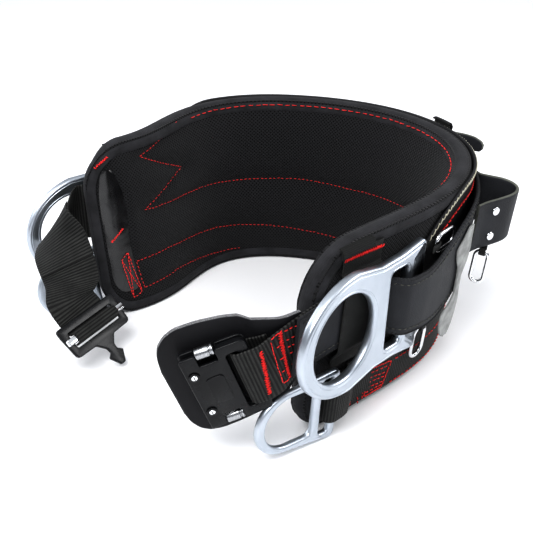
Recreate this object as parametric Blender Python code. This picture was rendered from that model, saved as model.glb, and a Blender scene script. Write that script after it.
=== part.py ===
# Lineman belt: a padded waist belt with a leather body strap, forged side
# rings, lower rings, a two-part buckle and tool fittings. It stands on its
# lower edge with its opening towards -Y. The tables are in millimetres and
# degrees, and the finished objects are in metres.
#
# Places on the belt are given as s, z and o: s runs along the belt line from
# the right end of the pad round the back to the left end, z is the height and
# o is the distance outwards from the pad's inner face.

import bpy
import bmesh
import math
import numpy as np
from mathutils import Matrix, Vector

MM = 0.001

# Belt line: where it starts, where it heads, and how far it turns in each
# stretch of LINE_KNOT, read at even knots and blended between them
LINE_START = (79.5, -74.2)
LINE_HEADING = 87.1
LINE_KNOT = 70.0
LINE_TURNS = (-10.6, 0.0, 35.3, 43.4, 35.5, 22.7, 74.2, -33.6, -60.2)
LINE_LEAN = 0.104
STATION = 16.0

# Pad
PAD_RIGHT = -2.0
PAD_LEFT = 565.0
PAD_THICK = 12.0
PAD_HEIGHT_ENDS = 143.0
PAD_HEIGHT_BACK = 146.0
PAD_TOP_RADIUS = 40.0
PAD_LOW_RADIUS = 30.0
PAD_SLANT = 10.0
PAD_ROUND_STEPS = 5
PAD_FLAT_END = 45.0
PAD_FULL_RELIEF = 70.0
# height as a share of the pad, and how far the inner face lies from flat
PAD_RELIEF = ((0.0, 0.0), (0.1, 0.0), (0.205, 1.6), (0.36, -1.8), (0.51, 1.6), (0.74, -1.8),
              (0.9, 0.0), (1.0, 0.0))
BINDING_COVER = 10.0
BINDING_GAP = 0.4
BINDING_THICK = 1.1
# height of each row, and how far its edges lie from the pad's end
PATCH_ROWS = ((18, 17.5, 35.0), (30, 12.4, 33.5), (66, 9.6, 29.0), (104, 7.4, 24.0), (118, 10.6, 22.0))
PATCH_OFFSETS = (-1.4, -0.4)
PATCH_COLUMNS = 4

# Bands round the outside of the pad
LAYER_IN = 13.9
LAYER_OUT = 15.9
# distance from the band's end, lower edge, upper edge
BAND_END = 101.0
BAND_SHAPE = ((0.0, 62.0, 116.0), (6.0, 53.0, 124.0), (12.0, 50.0, 131.0), (21.0, 50.0, 137.0),
              (31.0, 50.0, 143.0), (42.0, 50.0, 146.5))
LOWER_STRAP_SPAN = (38.5, 525.5)
LOWER_STRAP_HEIGHTS = (4.0, 47.0)

# Leather strap: s, middle height, width, offset of its inner face
LEATHER_THICK = 2.6
LEATHER_PATH = (
    (-22, 90, 44, 15.9), (0, 91, 44, 15.9), (20, 91.5, 44, 15.9), (40, 91, 44, 15.9),
    (57, 89.5, 44, 16.1), (62, 88.5, 44, 20.0), (67, 87.5, 45, 26.8), (71.5, 86.8, 45, 30.0),
    (80, 86, 46, 30.2), (90, 85, 47.5, 29.4), (100, 84.5, 52, 27.4), (112, 87, 58, 25.4),
    (125, 93, 61, 24.0),
    (138, 101, 61, 23.4), (150, 104, 60, 21.6), (165, 104.5, 60, 18.6), (180, 105, 60, 16.4),
    (280, 105, 60, 16.4), (384, 105, 60, 16.4), (400, 104.5, 60, 16.6), (414, 104, 60, 17.4),
    (428, 101, 60, 19.5), (440, 97, 58, 22.5), (452, 93, 54, 26.0), (464, 91.5, 49, 28.5),
    (476, 88, 46, 29.8), (488, 84, 45, 30.0), (500, 82, 45, 27.5), (510, 81.5, 45, 21.5),
    (520, 83.5, 45, 17.6), (530, 84, 45, 16.2), (545, 84.5, 45, 15.9), (560, 84.5, 45, 15.9))
# Keepers: height and offset of the inner face, from the top down
KEEPER_THICK = 1.5
KEEPER_RIGHT_SPAN = (20.0, 57.0)
KEEPER_RIGHT_PATH = ((139, 14.0), (124, 14.0), (117, 19.1), (66, 19.1), (59, 14.0), (50.5, 14.0))
KEEPER_LEFT_SPAN = (526.0, 545.0)
KEEPER_LEFT_PATH = ((139, 14.0), (117, 14.0), (109.5, 19.8), (61, 19.8), (57, 16.2), (52, 14.0))
KEEPER_BACK_SPAN = (234.0, 249.0)
KEEPER_BACK_PATH = ((148.7, 16.3), (140, 16.3), (136.5, 19.3), (73.5, 19.3), (70, 16.3), (62, 16.3))

# Side rings, in their own plane: x from the nose towards the back, y up
SIDE_RING_THICK = 6.6
SIDE_RING_EDGE = 2.0
SIDE_NOSE = (-11.5, 51.5, 43.0)
SIDE_WAIST = ((14.0, 38.0, 14.0), (36.0, 38.5, 20.0), (62.0, 42.5, 5.0), (62.0, 32.0, 3.0),
              (53.0, 27.5, 5.0))
SIDE_HOLE = (-21.0, 30.5, 30.5)
SIDE_SLOT = (24.0, 42.0, 29.0, 4.0)
SIDE_RIGHT_PLACE = (30.5, 88.2, 28.7)
SIDE_RIGHT_ROLL = -1.5
SIDE_RIGHT_UPRIGHT = -4.5
SIDE_RIGHT_HEADING = 88.0
SIDE_LEFT_PLACE = (525.3, 75.8, 33.9)
SIDE_LEFT_HEADING = 253.0
SIDE_LEFT_ROLL = 12.8
SIDE_LEFT_UPRIGHT = 5.2
SIDE_NEAR_BAR = 16.5

# Lower rings, in their own plane
LOWER_RING_THICK = 5.2
LOWER_RING_EDGE = 2.0
LOWER_NOSE = (-3.0, 25.4, 24.5)
LOWER_CORNER = (38.0, 28.5, 6.0)
LOWER_HOLE = (-2.0, 19.5, 19.5)
LOWER_BAR = 17.5
LOWER_SLOT = (24.0, 32.0, 22.5, 2.5)
LOWER_PIVOT = 35.0
LOWER_RIGHT_PLACE = (19.0, 27.4, 21.6)
LOWER_RIGHT_SWING = -8.5
LOWER_RIGHT_ROLL = -2.0
LOWER_RIGHT_UPRIGHT = -2.5
LOWER_LEFT_PLACE = (551.5, 27.4, 21.4)
LOWER_LEFT_SWING = 17.0
LOWER_LEFT_ROLL = 5.0
LOWER_LEFT_UPRIGHT = 0.0

# Webbing loop that holds each lower ring
LOOP_THICK = 1.5
LOOP_HEIGHTS = (12.8, 42.5)
LOOP_INNER = 15.0
LOOP_OUTER_RIGHT = 26.4
LOOP_OUTER_LEFT = 26.6
LOOP_TURN_RIGHT = 18.8
LOOP_TURN_LEFT = 11.2
LOOP_LEFT_STRETCH = 1.5
LOOP_START_S = 37.0
LOOP_TAIL = ((45.0, 17.4), (50.0, 17.0), (64.0, 17.0))

# Front webbing on the right, from behind the leather strap forwards:
# distance travelled, turn away from the belt line, slope and lean
FRONT_START = 16.0
FRONT_Z = 91.0
FRONT_O = 14.75
FRONT_PATH = ((0, 0, 0, 6), (10, 0, -1, 6), (28, -4, -12, 6), (38, -11, -19, 6.5),
              (50, -26, -24, 7.5), (60, -39, -19, 9), (130, -39, -19, 9))
WEB_WIDTH = 45.0
WEB_THICK = 1.5

# Female buckle: x towards the pad from the slot's front edge, y up, z out
BUCKLE_T = 75.0
BUCKLE_HALF = 31.0
BUCKLE_MOUTH = -27.0
BUCKLE_BACK = 14.5
BUCKLE_CORNER = 5.0
BUCKLE_SLOT = (0.0, 8.8, 24.0, 3.0)
PLATE_THICK = 2.4
PLATE_EDGE = 0.6
CAVITY = 3.2
PLATE_GAP = 0.3
NOTCH = (-16.5, -4.5, 22.0)
LEVER = (-16.1, -4.9, 25.4, 33.0)
LEVER_THICK = 7.6
LEVER_ROUND = 2.0
RIVET_X = -22.0
RIVET_Y = 16.0
RIVET_SHAFT = 1.9
RIVET_HOLE = 2.3
RIVET_HEAD = 3.3
RIVET_HEAD_TALL = 0.9
# Backing plate: distance along the front path, lower and upper edge, outer face
BACKING_THICK = 3.0
BACKING = ((26, -25, 28, -1.3), (36, -29, 33, -1.3), (46, -35, 38, -4.2), (56, -40, 41, -6.9),
           (68, -43, 43.5, -6.9), (84, -45, 46.5, -6.9), (98, -45.5, 47, -6.9),
           (106, -43, 43, -6.9), (111, -38.5, 38, -6.9), (114.5, -31, 30, -6.9),
           (116, -22, 18, -6.9))

# Left webbing: free rows x, y, z, then azimuth and elevation of its width
LEFT_WEB_S = (546.0, 560.0, 573.0)
LEFT_WEB_Z = 84.5
LEFT_WEB_O = 14.65
LEFT_WEB_ROWS = ((-157.5, -63.0, 83.2, -9.5, 66.1), (-154.4, -77.2, 81.6, -0.5, 50.1),
                 (-140.1, -83.7, 69.9, 35.6, 37.1), (-122.6, -90.4, 56.0, 67.7, 18.5))
LEFT_WEB_STEPS = 4
HEM_ROWS = (13, 22)
HEM_THICK = 1.2

# Tongue plate: x across, y towards the tongue, z down and back
TONGUE_PLACE = (-98.1, -99.3, 37.5)
TONGUE_ACROSS = (98.8, 2.3)
TONGUE_DOWN = (11.3, -44.4)
TONGUE_THICK = 2.6
TONGUE_OUTLINE = ((-31, 0, 3), (31, 0, 3), (31, 7, 1), (29.5, 26, 4), (10, 26.5, 4), (4, 33, 3),
                  (3.6, 37, 1), (7.5, 40, 1.2), (2, 49, 1.5), (-2, 49, 1.5), (-7.5, 40, 1.2),
                  (-3.6, 37, 1), (-4, 33, 3), (-10, 26.5, 4), (-29.5, 26, 4), (-31, 7, 1))
TONGUE_WINDOW = (24.0, 6.5, 19.5, 1.5)
ADJUSTER_BAR = (31.0, 10.4, 15.6, 3.4)
BAR_LIFT = -3.4
# The left webbing's way to the plate and round the bar: y and z
TONGUE_APPROACH = ((-13.0, 1.0), (-1.0, 2.6))
TONGUE_THREAD = ((5.0, 2.6), (7.8, 1.6), (9.0, -1.0), (9.3, -4.0), (10.2, -5.8), (13.0, -6.4),
                 (15.8, -5.8), (16.8, -4.0), (17.1, -1.0), (17.1, 1.2))

# Leather tool loop: s and o of its middle line
TOOL_THICK = 2.6
TOOL_HEIGHTS = (92.0, 130.0)
TOOL_PATH = ((146.5, 26.4), (153, 30.5), (160, 38), (167, 45.5), (173, 48.5), (179, 47), (184.5, 40.5),
             (188, 31), (191, 23.6), (196, 20.8))
TOOL_RIVET_S = 156.5
TOOL_RIVET_O = 36.6
TOOL_RIVET_HEIGHTS = (101.0, 121.0)
TOOL_RIVET_RADIUS = 3.2
TOOL_RIVET_TALL = 1.4
TOOL_RIVET_GAP = 0.6

# Light grey tab hanging outside the strap: height, s, width
GREY_THICK = 1.6
GREY_ROWS = ((120, 136.5, 5, 27.2), (113, 134.5, 12, 27.2), (107, 132, 19, 27.3), (99, 133.5, 18.5, 27.4),
             (90, 134.5, 12, 27.5), (81, 132.5, 5.5, 27.6), (68, 133, 5.5, 27.6), (62, 132, 11, 27.5),
             (56, 128, 20.5, 27.4), (47, 128, 20, 27.1), (39, 128.5, 16, 26.9), (34, 129, 10, 26.8),
             (31.5, 129.5, 4, 26.8))
# Rear leather tab: s and o of its middle line
REAR_TAB_PATH = ((251, 22.6), (243, 22.7), (236, 25.0), (229, 31.0), (218, 36.5))
REAR_TAB_ROWS = ((0, 126, 139), (0.4, 128.5, 141), (0.85, 129.5, 141), (0.95, 131, 139.5),
                 (1.0, 133.5, 137))

# Small wire rings: place, half length, half width, wire radius, tilt, turn
# about the ring's length, and how far the tab round its end reaches back
WIRE_SIDES = 6
WIRE_STEPS = 16
RINGS = (("loop_ring", (157.0, 75.0, 34.5), 13.0, 4.8, 1.4, 90.0, -90.0, 3.6),
         ("low_ring", (108.0, 36.0, 19.8), 13.0, 7.0, 1.6, 90.0, 0.0, 9.5),
         ("top_ring", (117.0, 117.0, 19.8), 12.0, 6.5, 1.5, 180.0, 0.0, 8.0))
TAB_THICK = 0.9
TAB_RADIUS = 3.1
TAB_HALF = 2.5


def bare_scene():
    for item in list(bpy.data.objects):
        bpy.data.objects.remove(item, do_unlink=True)


def finish(name, colour, roughness, metallic=0.0):
    material = bpy.data.materials.get(name)
    if material:
        return material
    material = bpy.data.materials.new(name)
    material.use_nodes = True
    shader = material.node_tree.nodes["Principled BSDF"]
    shader.inputs["Base Color"].default_value = (*colour, 1.0)
    shader.inputs["Roughness"].default_value = roughness
    shader.inputs["Metallic"].default_value = metallic
    material.diffuse_color = (*colour, 1.0)
    return material


def mesh_finish():
    return finish("black_spacer_mesh", (0.012, 0.012, 0.013), 0.95)


def tape_finish():
    return finish("grey_binding_tape", (0.05, 0.05, 0.053), 0.85)


def vinyl_finish():
    return finish("black_vinyl", (0.012, 0.012, 0.013), 0.35)


def shell_finish():
    return finish("coated_shell", (0.03, 0.03, 0.033), 0.7)


def web_finish():
    return finish("black_webbing", (0.02, 0.02, 0.021), 0.8)


def leather_finish():
    return finish("charcoal_leather", (0.035, 0.035, 0.038), 0.6)


def forged_finish():
    return finish("satin_aluminium", (0.62, 0.66, 0.72), 0.38, 1.0)


def steel_finish():
    return finish("polished_steel", (0.7, 0.71, 0.73), 0.18, 1.0)


def buckle_finish():
    return finish("black_satin_metal", (0.02, 0.021, 0.024), 0.42, 0.6)


def rubber_finish():
    return finish("black_rubberised_sheet", (0.018, 0.018, 0.019), 0.75)


def suede_finish():
    return finish("light_grey_tab", (0.55, 0.56, 0.56), 0.85)


# Belt line

def belt_line():
    last = LINE_KNOT * (len(LINE_TURNS) - 1)
    stops = np.arange(0.0, last + 1.0)
    knots = np.arange(len(LINE_TURNS)) * LINE_KNOT
    rate = np.radians(np.interp(stops, knots, LINE_TURNS)) / LINE_KNOT
    heading = math.radians(LINE_HEADING) + running_sum(rate)
    x = LINE_START[0] + running_sum(np.cos(heading))
    y = LINE_START[1] + running_sum(np.sin(heading))
    return stops, x, y, heading


def running_sum(values):
    return np.concatenate([[0.0], np.cumsum((values[1:] + values[:-1]) / 2)])


LINE = belt_line()


def line_at(s):
    stops, xs, ys, headings = LINE
    inside = min(max(s, 0.0), stops[-1])
    x = np.interp(inside, stops, xs)
    y = np.interp(inside, stops, ys)
    heading = np.interp(inside, stops, headings)
    beyond = s - inside
    return x + beyond * math.cos(heading), y + beyond * math.sin(heading), heading


def point(s, z, o):
    x, y, heading = line_at(s)
    out = o + LINE_LEAN * z
    return Vector((x + math.sin(heading) * out, y - math.cos(heading) * out, z))


def belt_frame(s, z, o, heading=None, roll=0.0, back=1.0):
    # x along the belt, y up with the belt's lean, z out where back is 1
    if heading is None:
        heading = line_at(s)[2]
    along = Vector((math.cos(heading), math.sin(heading), 0.0)) * back
    outward = Vector((math.sin(heading), -math.cos(heading), 0.0))
    up = (Vector((0.0, 0.0, 1.0)) + outward * LINE_LEAN).normalized()
    frame = frame_of(point(s, z, o), along, up)
    return frame @ Matrix.Rotation(math.radians(roll), 4, "Z")


def frame_of(origin, x_axis, y_axis):
    x_axis = x_axis.normalized()
    z_axis = x_axis.cross(y_axis).normalized()
    y_axis = z_axis.cross(x_axis)
    frame = Matrix((x_axis, y_axis, z_axis)).transposed().to_4x4()
    frame.translation = origin
    return frame


def stations(start, end, extra=()):
    first = math.floor(start / STATION) + 1
    last = math.ceil(end / STATION) - 1
    stops = {start, end, *extra} | {i * STATION for i in range(first, last + 1)}
    kept = sorted(stop for stop in stops if start <= stop <= end)
    return [stop for i, stop in enumerate(kept) if i == 0 or stop - kept[i - 1] > 0.5]


def column(table, at, pick):
    return float(np.interp(at, [row[0] for row in table], [row[pick] for row in table]))


# Meshes

def add_mesh(name, points, faces, material):
    shape = bmesh.new()
    corners = [shape.verts.new(Vector(p) * MM) for p in points]
    for face in faces:
        shape.faces.new([corners[k] for k in face])
    return add_object(name, shape, material)


def add_object(name, shape, material):
    bmesh.ops.recalc_face_normals(shape, faces=shape.faces)
    if shape.calc_volume(signed=True) < 0:
        bmesh.ops.reverse_faces(shape, faces=shape.faces)
    mesh = bpy.data.meshes.new(name)
    shape.to_mesh(mesh)
    shape.free()
    mesh.materials.append(material)
    mesh.shade_smooth()
    mesh.set_sharp_from_angle(angle=math.radians(35))
    item = bpy.data.objects.new(name, mesh)
    bpy.context.scene.collection.objects.link(item)
    return item


def slab(name, sections, material):
    # each section is a list of (inner point, outer point) pairs, low to high
    rows = len(sections[0])
    points = []
    for section in sections:
        points += [pair[0] for pair in section] + [pair[1] for pair in section]

    def at(i, j, side):
        return i * rows * 2 + side * rows + j

    faces = []
    last = len(sections) - 1
    for i in range(last):
        for j in range(rows - 1):
            faces.append((at(i, j, 0), at(i, j + 1, 0), at(i + 1, j + 1, 0), at(i + 1, j, 0)))
            faces.append((at(i, j, 1), at(i + 1, j, 1), at(i + 1, j + 1, 1), at(i, j + 1, 1)))
        for j in (0, rows - 1):
            faces.append((at(i, j, 0), at(i + 1, j, 0), at(i + 1, j, 1), at(i, j, 1)))
    for i in (0, last):
        for j in range(rows - 1):
            faces.append((at(i, j, 0), at(i, j, 1), at(i, j + 1, 1), at(i, j + 1, 0)))
    return add_mesh(name, points, faces, material)


def band(name, rows, material):
    # rows are s, lower edge, upper edge, inner and outer offset
    sections = []
    for s, low, high, inner, outer in rows:
        sections.append([(point(s, z, inner), point(s, z, outer)) for z in (low, high)])
    return slab(name, sections, material)


def route_normals(route):
    normals = []
    for i in range(len(route)):
        before = route[max(i - 1, 0)]
        after = route[min(i + 1, len(route) - 1)]
        step = Vector((after[0] - before[0], after[1] - before[1])).normalized()
        normals.append((-step.y, step.x))
    return normals


def folded_strap(name, route, place, low, high, thick, material):
    # route is a line of (distance, offset); place turns it into a point
    sections = []
    for (a, b), (na, nb) in zip(route, route_normals(route)):
        pair = []
        for height in (low, high):
            inner = place(a - na * thick / 2, b - nb * thick / 2, height)
            outer = place(a + na * thick / 2, b + nb * thick / 2, height)
            pair.append((inner, outer))
        sections.append(pair)
    return slab(name, sections, material)


def half_turn(centre_a, centre_b, radius, steps=8, direction=-1.0):
    # from (centre_a, centre_b - radius) round to (centre_a, centre_b + radius)
    turns = [math.pi * k / steps for k in range(steps + 1)]
    return [(centre_a + direction * radius * math.sin(t), centre_b - radius * math.cos(t)) for t in turns]


def arc(centre, half_x, half_y, start, end, steps):
    angles = [math.radians(start + (end - start) * k / steps) for k in range(steps + 1)]
    return [(centre + half_x * math.cos(a), half_y * math.sin(a)) for a in angles]


def fillet(corners, steps=3):
    # round each corner (x, y, radius) of a closed outline
    loop = []
    count = len(corners)
    for i, (x, y, radius) in enumerate(corners):
        here = Vector((x, y))
        before = Vector(corners[i - 1][:2]) - here
        after = Vector(corners[(i + 1) % count][:2]) - here
        half = before.angle(after) / 2
        reach = min(radius / math.tan(half), before.length * 0.45, after.length * 0.45)
        start = here + before.normalized() * reach
        end = here + after.normalized() * reach
        for k in range(steps + 1):
            t = k / steps
            spot = start * (1 - t) ** 2 + here * 2 * t * (1 - t) + end * t ** 2
            loop.append((spot.x, spot.y))
    return loop


def box_loop(x0, x1, y0, y1, radius):
    return fillet(((x0, y0, radius), (x1, y0, radius), (x1, y1, radius), (x0, y1, radius)), 2)


def circle(x, y, radius, steps=12):
    angles = [2 * math.pi * k / steps for k in range(steps)]
    return [(x + radius * math.cos(a), y + radius * math.sin(a)) for a in angles]


def turned_area(loop):
    return sum(a[0] * b[1] - b[0] * a[1] for a, b in zip(loop, loop[1:] + loop[:1])) / 2


def inset_loop(loop, depth):
    # move each point to its left by depth
    moved = []
    count = len(loop)
    for i, (x, y) in enumerate(loop):
        before = Vector((x, y)) - Vector(loop[i - 1])
        after = Vector(loop[(i + 1) % count]) - Vector((x, y))
        along = (before.normalized() + after.normalized()).normalized()
        moved.append((x - along.y * depth, y + along.x * depth))
    return moved


def edge_profile(thick, edge):
    # inset and height of the loops that round a plate's rim, in one step if small
    half = thick / 2
    turns = [math.radians(a) for a in ((90, 0) if edge < 1.0 else (90, 45, 0))]
    upper = [(edge * (1 - math.cos(t)), half - edge * (1 - math.sin(t))) for t in turns]
    lower = [(inset, -height) for inset, height in reversed(upper)]
    return upper + lower


def plate(name, outline, holes, thick, edge, frame, material):
    shape = bmesh.new()
    rims = {0: [], -1: []}
    for loop, sign in [(outline, 1)] + [(hole, -1) for hole in holes]:
        if turned_area(loop) * sign < 0:
            loop = loop[::-1]
        rings = []
        for inset, height in edge_profile(thick, edge):
            flat = inset_loop(loop, inset)
            rings.append([shape.verts.new(frame @ Vector((x, y, height)) * MM) for x, y in flat])
        count = len(loop)
        for upper, lower in zip(rings, rings[1:]):
            for i in range(count):
                j = (i + 1) % count
                shape.faces.new((upper[i], upper[j], lower[j], lower[i]))
        for side in rims:
            ring = rings[side]
            rims[side] += [shape.edges.get((ring[i], ring[(i + 1) % count])) for i in range(count)]
    for edges in rims.values():
        bmesh.ops.triangle_fill(shape, use_beauty=True, edges=edges)
    return add_object(name, shape, material)


def turned(name, profile, frame, material, steps=12):
    # profile is radius and height from the bottom up, ends on the axis closed
    points = [frame @ Vector((0, 0, profile[0][1]))]
    for radius, height in profile:
        for k in range(steps):
            angle = 2 * math.pi * k / steps
            points.append(frame @ Vector((radius * math.cos(angle), radius * math.sin(angle), height)))
    points.append(frame @ Vector((0, 0, profile[-1][1])))
    faces = []
    for i in range(len(profile) - 1):
        for k in range(steps):
            a, b = 1 + i * steps + k, 1 + i * steps + (k + 1) % steps
            faces.append((a, b, b + steps, a + steps))
    top = len(points) - 1
    for k in range(steps):
        nxt = (k + 1) % steps
        faces.append((0, 1 + nxt, 1 + k))
        faces.append((top, top - steps + k, top - steps + nxt))
    return add_mesh(name, points, faces, material)


def wire_ring(name, half_long, half_short, radius, frame, material):
    # a long link: two straight sides with a half circle at each end
    straight = half_long - half_short
    points = []
    for k in range(WIRE_STEPS):
        angle = 2 * math.pi * (k + 0.5) / WIRE_STEPS
        outward = Vector((math.cos(angle), math.sin(angle), 0))
        centre = outward * half_short + Vector((math.copysign(straight, outward.x), 0, 0))
        for m in range(WIRE_SIDES):
            turn = 2 * math.pi * m / WIRE_SIDES
            spot = centre + (outward * math.cos(turn) + Vector((0, 0, 1)) * math.sin(turn)) * radius
            points.append(frame @ spot)
    faces = []
    for k in range(WIRE_STEPS):
        for m in range(WIRE_SIDES):
            n = (m + 1) % WIRE_SIDES
            a, b = k * WIRE_SIDES, ((k + 1) % WIRE_STEPS) * WIRE_SIDES
            faces.append((a + m, b + m, b + n, a + n))
    return add_mesh(name, points, faces, material)


# Pad and its edge

def pad_columns():
    turns = [math.pi / 2 * k / PAD_ROUND_STEPS for k in range(PAD_ROUND_STEPS + 1)]
    depths = [PAD_TOP_RADIUS * (1 - math.cos(t)) for t in turns]
    right = [PAD_RIGHT + d for d in depths]
    left = [PAD_LEFT - d for d in reversed(depths)]
    middle = [s for s in stations(right[-1], left[0]) if s not in (right[-1], left[0])]
    return right + middle + left


def round_drop(depth, radius):
    if depth >= radius:
        return 0.0
    return radius - math.sqrt(radius ** 2 - (radius - depth) ** 2)


def pad_edges(s):
    depth = min(s - PAD_RIGHT, PAD_LEFT - s)
    share = math.sin(math.pi * min(max(s / PAD_LEFT, 0.0), 1.0))
    full = PAD_HEIGHT_ENDS + (PAD_HEIGHT_BACK - PAD_HEIGHT_ENDS) * share
    return round_drop(depth, PAD_LOW_RADIUS), full - round_drop(depth, PAD_TOP_RADIUS)


def pad_spot(s, z):
    # the ends of the pad slant, so that their upper part stands out further
    depth = min(s - PAD_RIGHT, PAD_LEFT - s)
    share = max(0.0, 1.0 - depth / PAD_TOP_RADIUS)
    shift = PAD_SLANT * share * (z / PAD_HEIGHT_BACK - 0.5)
    side = 1.0 if s > PAD_LEFT / 2 else -1.0
    return s + side * shift, z


def back_pad():
    sections = []
    for s in pad_columns():
        low, high = pad_edges(s)
        depth = min(s - PAD_RIGHT, PAD_LEFT - s)
        relief = min(max((depth - PAD_FLAT_END) / (PAD_FULL_RELIEF - PAD_FLAT_END), 0.0), 1.0)
        section = []
        for share, inset in PAD_RELIEF:
            spot, z = pad_spot(s, low + (high - low) * share)
            section.append((point(spot, z, inset * relief), point(spot, z, PAD_THICK)))
        sections.append(section)
    slab("back_pad", sections, mesh_finish())


def pad_rim():
    columns = pad_columns()
    low_edge = [pad_spot(s, pad_edges(s)[0]) for s in columns]
    high_edge = [pad_spot(s, pad_edges(s)[1]) for s in columns]
    return low_edge + high_edge[::-1]


def pad_binding():
    rim = pad_rim()
    face = BINDING_GAP + BINDING_THICK
    thick = PAD_THICK
    profile = ((BINDING_COVER, -face), (-face, -face), (-face, thick + face), (BINDING_COVER, thick + face),
               (BINDING_COVER, thick + BINDING_GAP), (-BINDING_GAP, thick + BINDING_GAP),
               (-BINDING_GAP, -BINDING_GAP), (BINDING_COVER, -BINDING_GAP))
    inwards = [inset_loop(rim, inset) for inset, offset in profile]
    count = len(rim)
    sides = len(profile)
    points = []
    for i in range(count):
        for k, (inset, offset) in enumerate(profile):
            s, z = inwards[k][i]
            points.append(point(s, z, offset))
    faces = []
    for i in range(count):
        a, b = i * sides, ((i + 1) % count) * sides
        for k in range(sides):
            n = (k + 1) % sides
            faces.append((a + k, b + k, b + n, a + n))
    add_mesh("pad_binding", points, faces, tape_finish())


def end_patches():
    inner, outer = PATCH_OFFSETS
    shares = [k / PATCH_COLUMNS for k in range(PATCH_COLUMNS + 1)]
    for name, place in (("end_patch_right", lambda s: s), ("end_patch_left", mirrored)):
        sections = []
        for z, near, far in PATCH_ROWS:
            stops = [place(near + (far - near) * share) for share in shares]
            sections.append([(point(s, z, inner), point(s, z, outer)) for s in stops])
        slab(name, sections, vinyl_finish())


# Bands and straps round the outside

def mirrored(s):
    return PAD_LEFT + PAD_RIGHT - s


def outer_band():
    stops = stations(BAND_END, mirrored(BAND_END), [BAND_END + row[0] for row in BAND_SHAPE]
                     + [mirrored(BAND_END + row[0]) for row in BAND_SHAPE])
    rows = []
    for s in stops:
        depth = min(s - BAND_END, mirrored(BAND_END) - s)
        rows.append((s, column(BAND_SHAPE, depth, 1), column(BAND_SHAPE, depth, 2), LAYER_IN, LAYER_OUT))
    band("outer_band", rows, shell_finish())


def lower_strap():
    rows = [(s, *LOWER_STRAP_HEIGHTS, LAYER_IN, LAYER_OUT) for s in stations(*LOWER_STRAP_SPAN)]
    band("lower_strap", rows, web_finish())


def leather_strap():
    table = LEATHER_PATH
    rows = []
    for s in stations(table[0][0], table[-1][0], [row[0] for row in table]):
        middle, width, inner = (column(table, s, k) for k in (1, 2, 3))
        rows.append((s, middle - width / 2, middle + width / 2, inner, inner + LEATHER_THICK))
    band("leather_strap", rows, leather_finish())


def keeper(name, span, path):
    route = [(z, o + KEEPER_THICK / 2) for z, o in path]

    def place(z, o, s):
        return point(s, z, o)

    sections = []
    for (z, o), (nz, no) in zip(route, route_normals(route)):
        half = KEEPER_THICK / 2
        sections.append([(place(z - nz * half, o - no * half, s), place(z + nz * half, o + no * half, s))
                         for s in stations(*span)])
    slab(name, sections, web_finish())


# Rings

def side_ring(name, frame):
    centre, half_x, half_y = SIDE_NOSE
    nose = arc(centre, half_x, half_y, 90, 270, 16)
    lower = fillet([(*nose[-1], 0.0)] + [(x, -y, r) for x, y, r in SIDE_WAIST], 1)[2:]
    upper = [(x, -y) for x, y in reversed(lower)]
    outline = nose + lower + upper
    hole_centre, hole_x, hole_y = SIDE_HOLE
    hole = arc(hole_centre, hole_x, hole_y, 0, 360, 22)[:-1]
    near, far, half, radius = SIDE_SLOT
    slot = box_loop(near, far, -half, half, radius)
    plate(name, outline, [hole, slot], SIDE_RING_THICK, SIDE_RING_EDGE, frame, forged_finish())


def side_rings():
    s, z, o = SIDE_RIGHT_PLACE
    frame = belt_frame(s, z, o, math.radians(SIDE_RIGHT_HEADING), SIDE_RIGHT_ROLL)
    side_ring("side_ring_right", frame @ Matrix.Rotation(math.radians(SIDE_RIGHT_UPRIGHT), 4, "X"))
    s, z, o = SIDE_LEFT_PLACE
    frame = belt_frame(s, z, o, math.radians(SIDE_LEFT_HEADING), SIDE_LEFT_ROLL, back=-1.0)
    frame = frame @ Matrix.Rotation(math.radians(SIDE_LEFT_UPRIGHT), 4, "X")
    side_ring("side_ring_left", frame @ Matrix.Translation((-SIDE_NEAR_BAR, 0, 0)))


def bowed_loop(bow, back):
    # a half oval in front, and two rounded corners behind it
    centre, half_x, half_y = bow
    x, y, radius = back
    front = arc(centre, half_x, half_y, 90, 270, 11)
    corners = fillet((front[-1] + (0,), (x, -y, radius), (x, y, radius), front[0] + (0,)), 2)
    return front + corners[3:-3]


def lower_ring(name, frame):
    x, y, radius = LOWER_CORNER
    outline = bowed_loop(LOWER_NOSE, (x, y, radius))
    hole = bowed_loop(LOWER_HOLE, (LOWER_BAR, LOWER_HOLE[2], radius))
    near, far, half, radius = LOWER_SLOT
    slot = box_loop(near, far, -half, half, radius)
    plate(name, outline, [hole, slot], LOWER_RING_THICK, LOWER_RING_EDGE,
          frame @ Matrix.Translation((-LOWER_PIVOT, 0, 0)), steel_finish())


def lower_rings():
    for name, place, swing, roll, upright, back in (
            ("lower_ring_right", LOWER_RIGHT_PLACE, LOWER_RIGHT_SWING, LOWER_RIGHT_ROLL, LOWER_RIGHT_UPRIGHT, 1.0),
            ("lower_ring_left", LOWER_LEFT_PLACE, LOWER_LEFT_SWING, LOWER_LEFT_ROLL, LOWER_LEFT_UPRIGHT, -1.0)):
        heading = line_at(place[0])[2] + math.radians(swing)
        frame = belt_frame(*place, heading, roll, back=back)
        lower_ring(name, frame @ Matrix.Rotation(math.radians(upright), 4, "X"))


def ring_loop(name, outer, turn_s, place):
    middle = (LOOP_INNER + outer) / 2
    inner = [(s, LOOP_INNER) for s in reversed(stations(turn_s + 3.0, LOOP_START_S))]
    turn = half_turn(turn_s, middle, outer - middle)
    route = inner + turn + [(turn_s + 7.0, outer), (turn_s + 13.0, outer - 1.0)] + list(LOOP_TAIL)
    folded_strap(name, route, place, *LOOP_HEIGHTS, LOOP_THICK, web_finish())


def left_loop_point(s, o, z):
    # the belt line curves outwards there, so the fold is stretched along it
    if s < LOOP_TURN_LEFT:
        s = LOOP_TURN_LEFT + (s - LOOP_TURN_LEFT) * LOOP_LEFT_STRETCH
    return point(mirrored(s), z, o)


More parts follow.
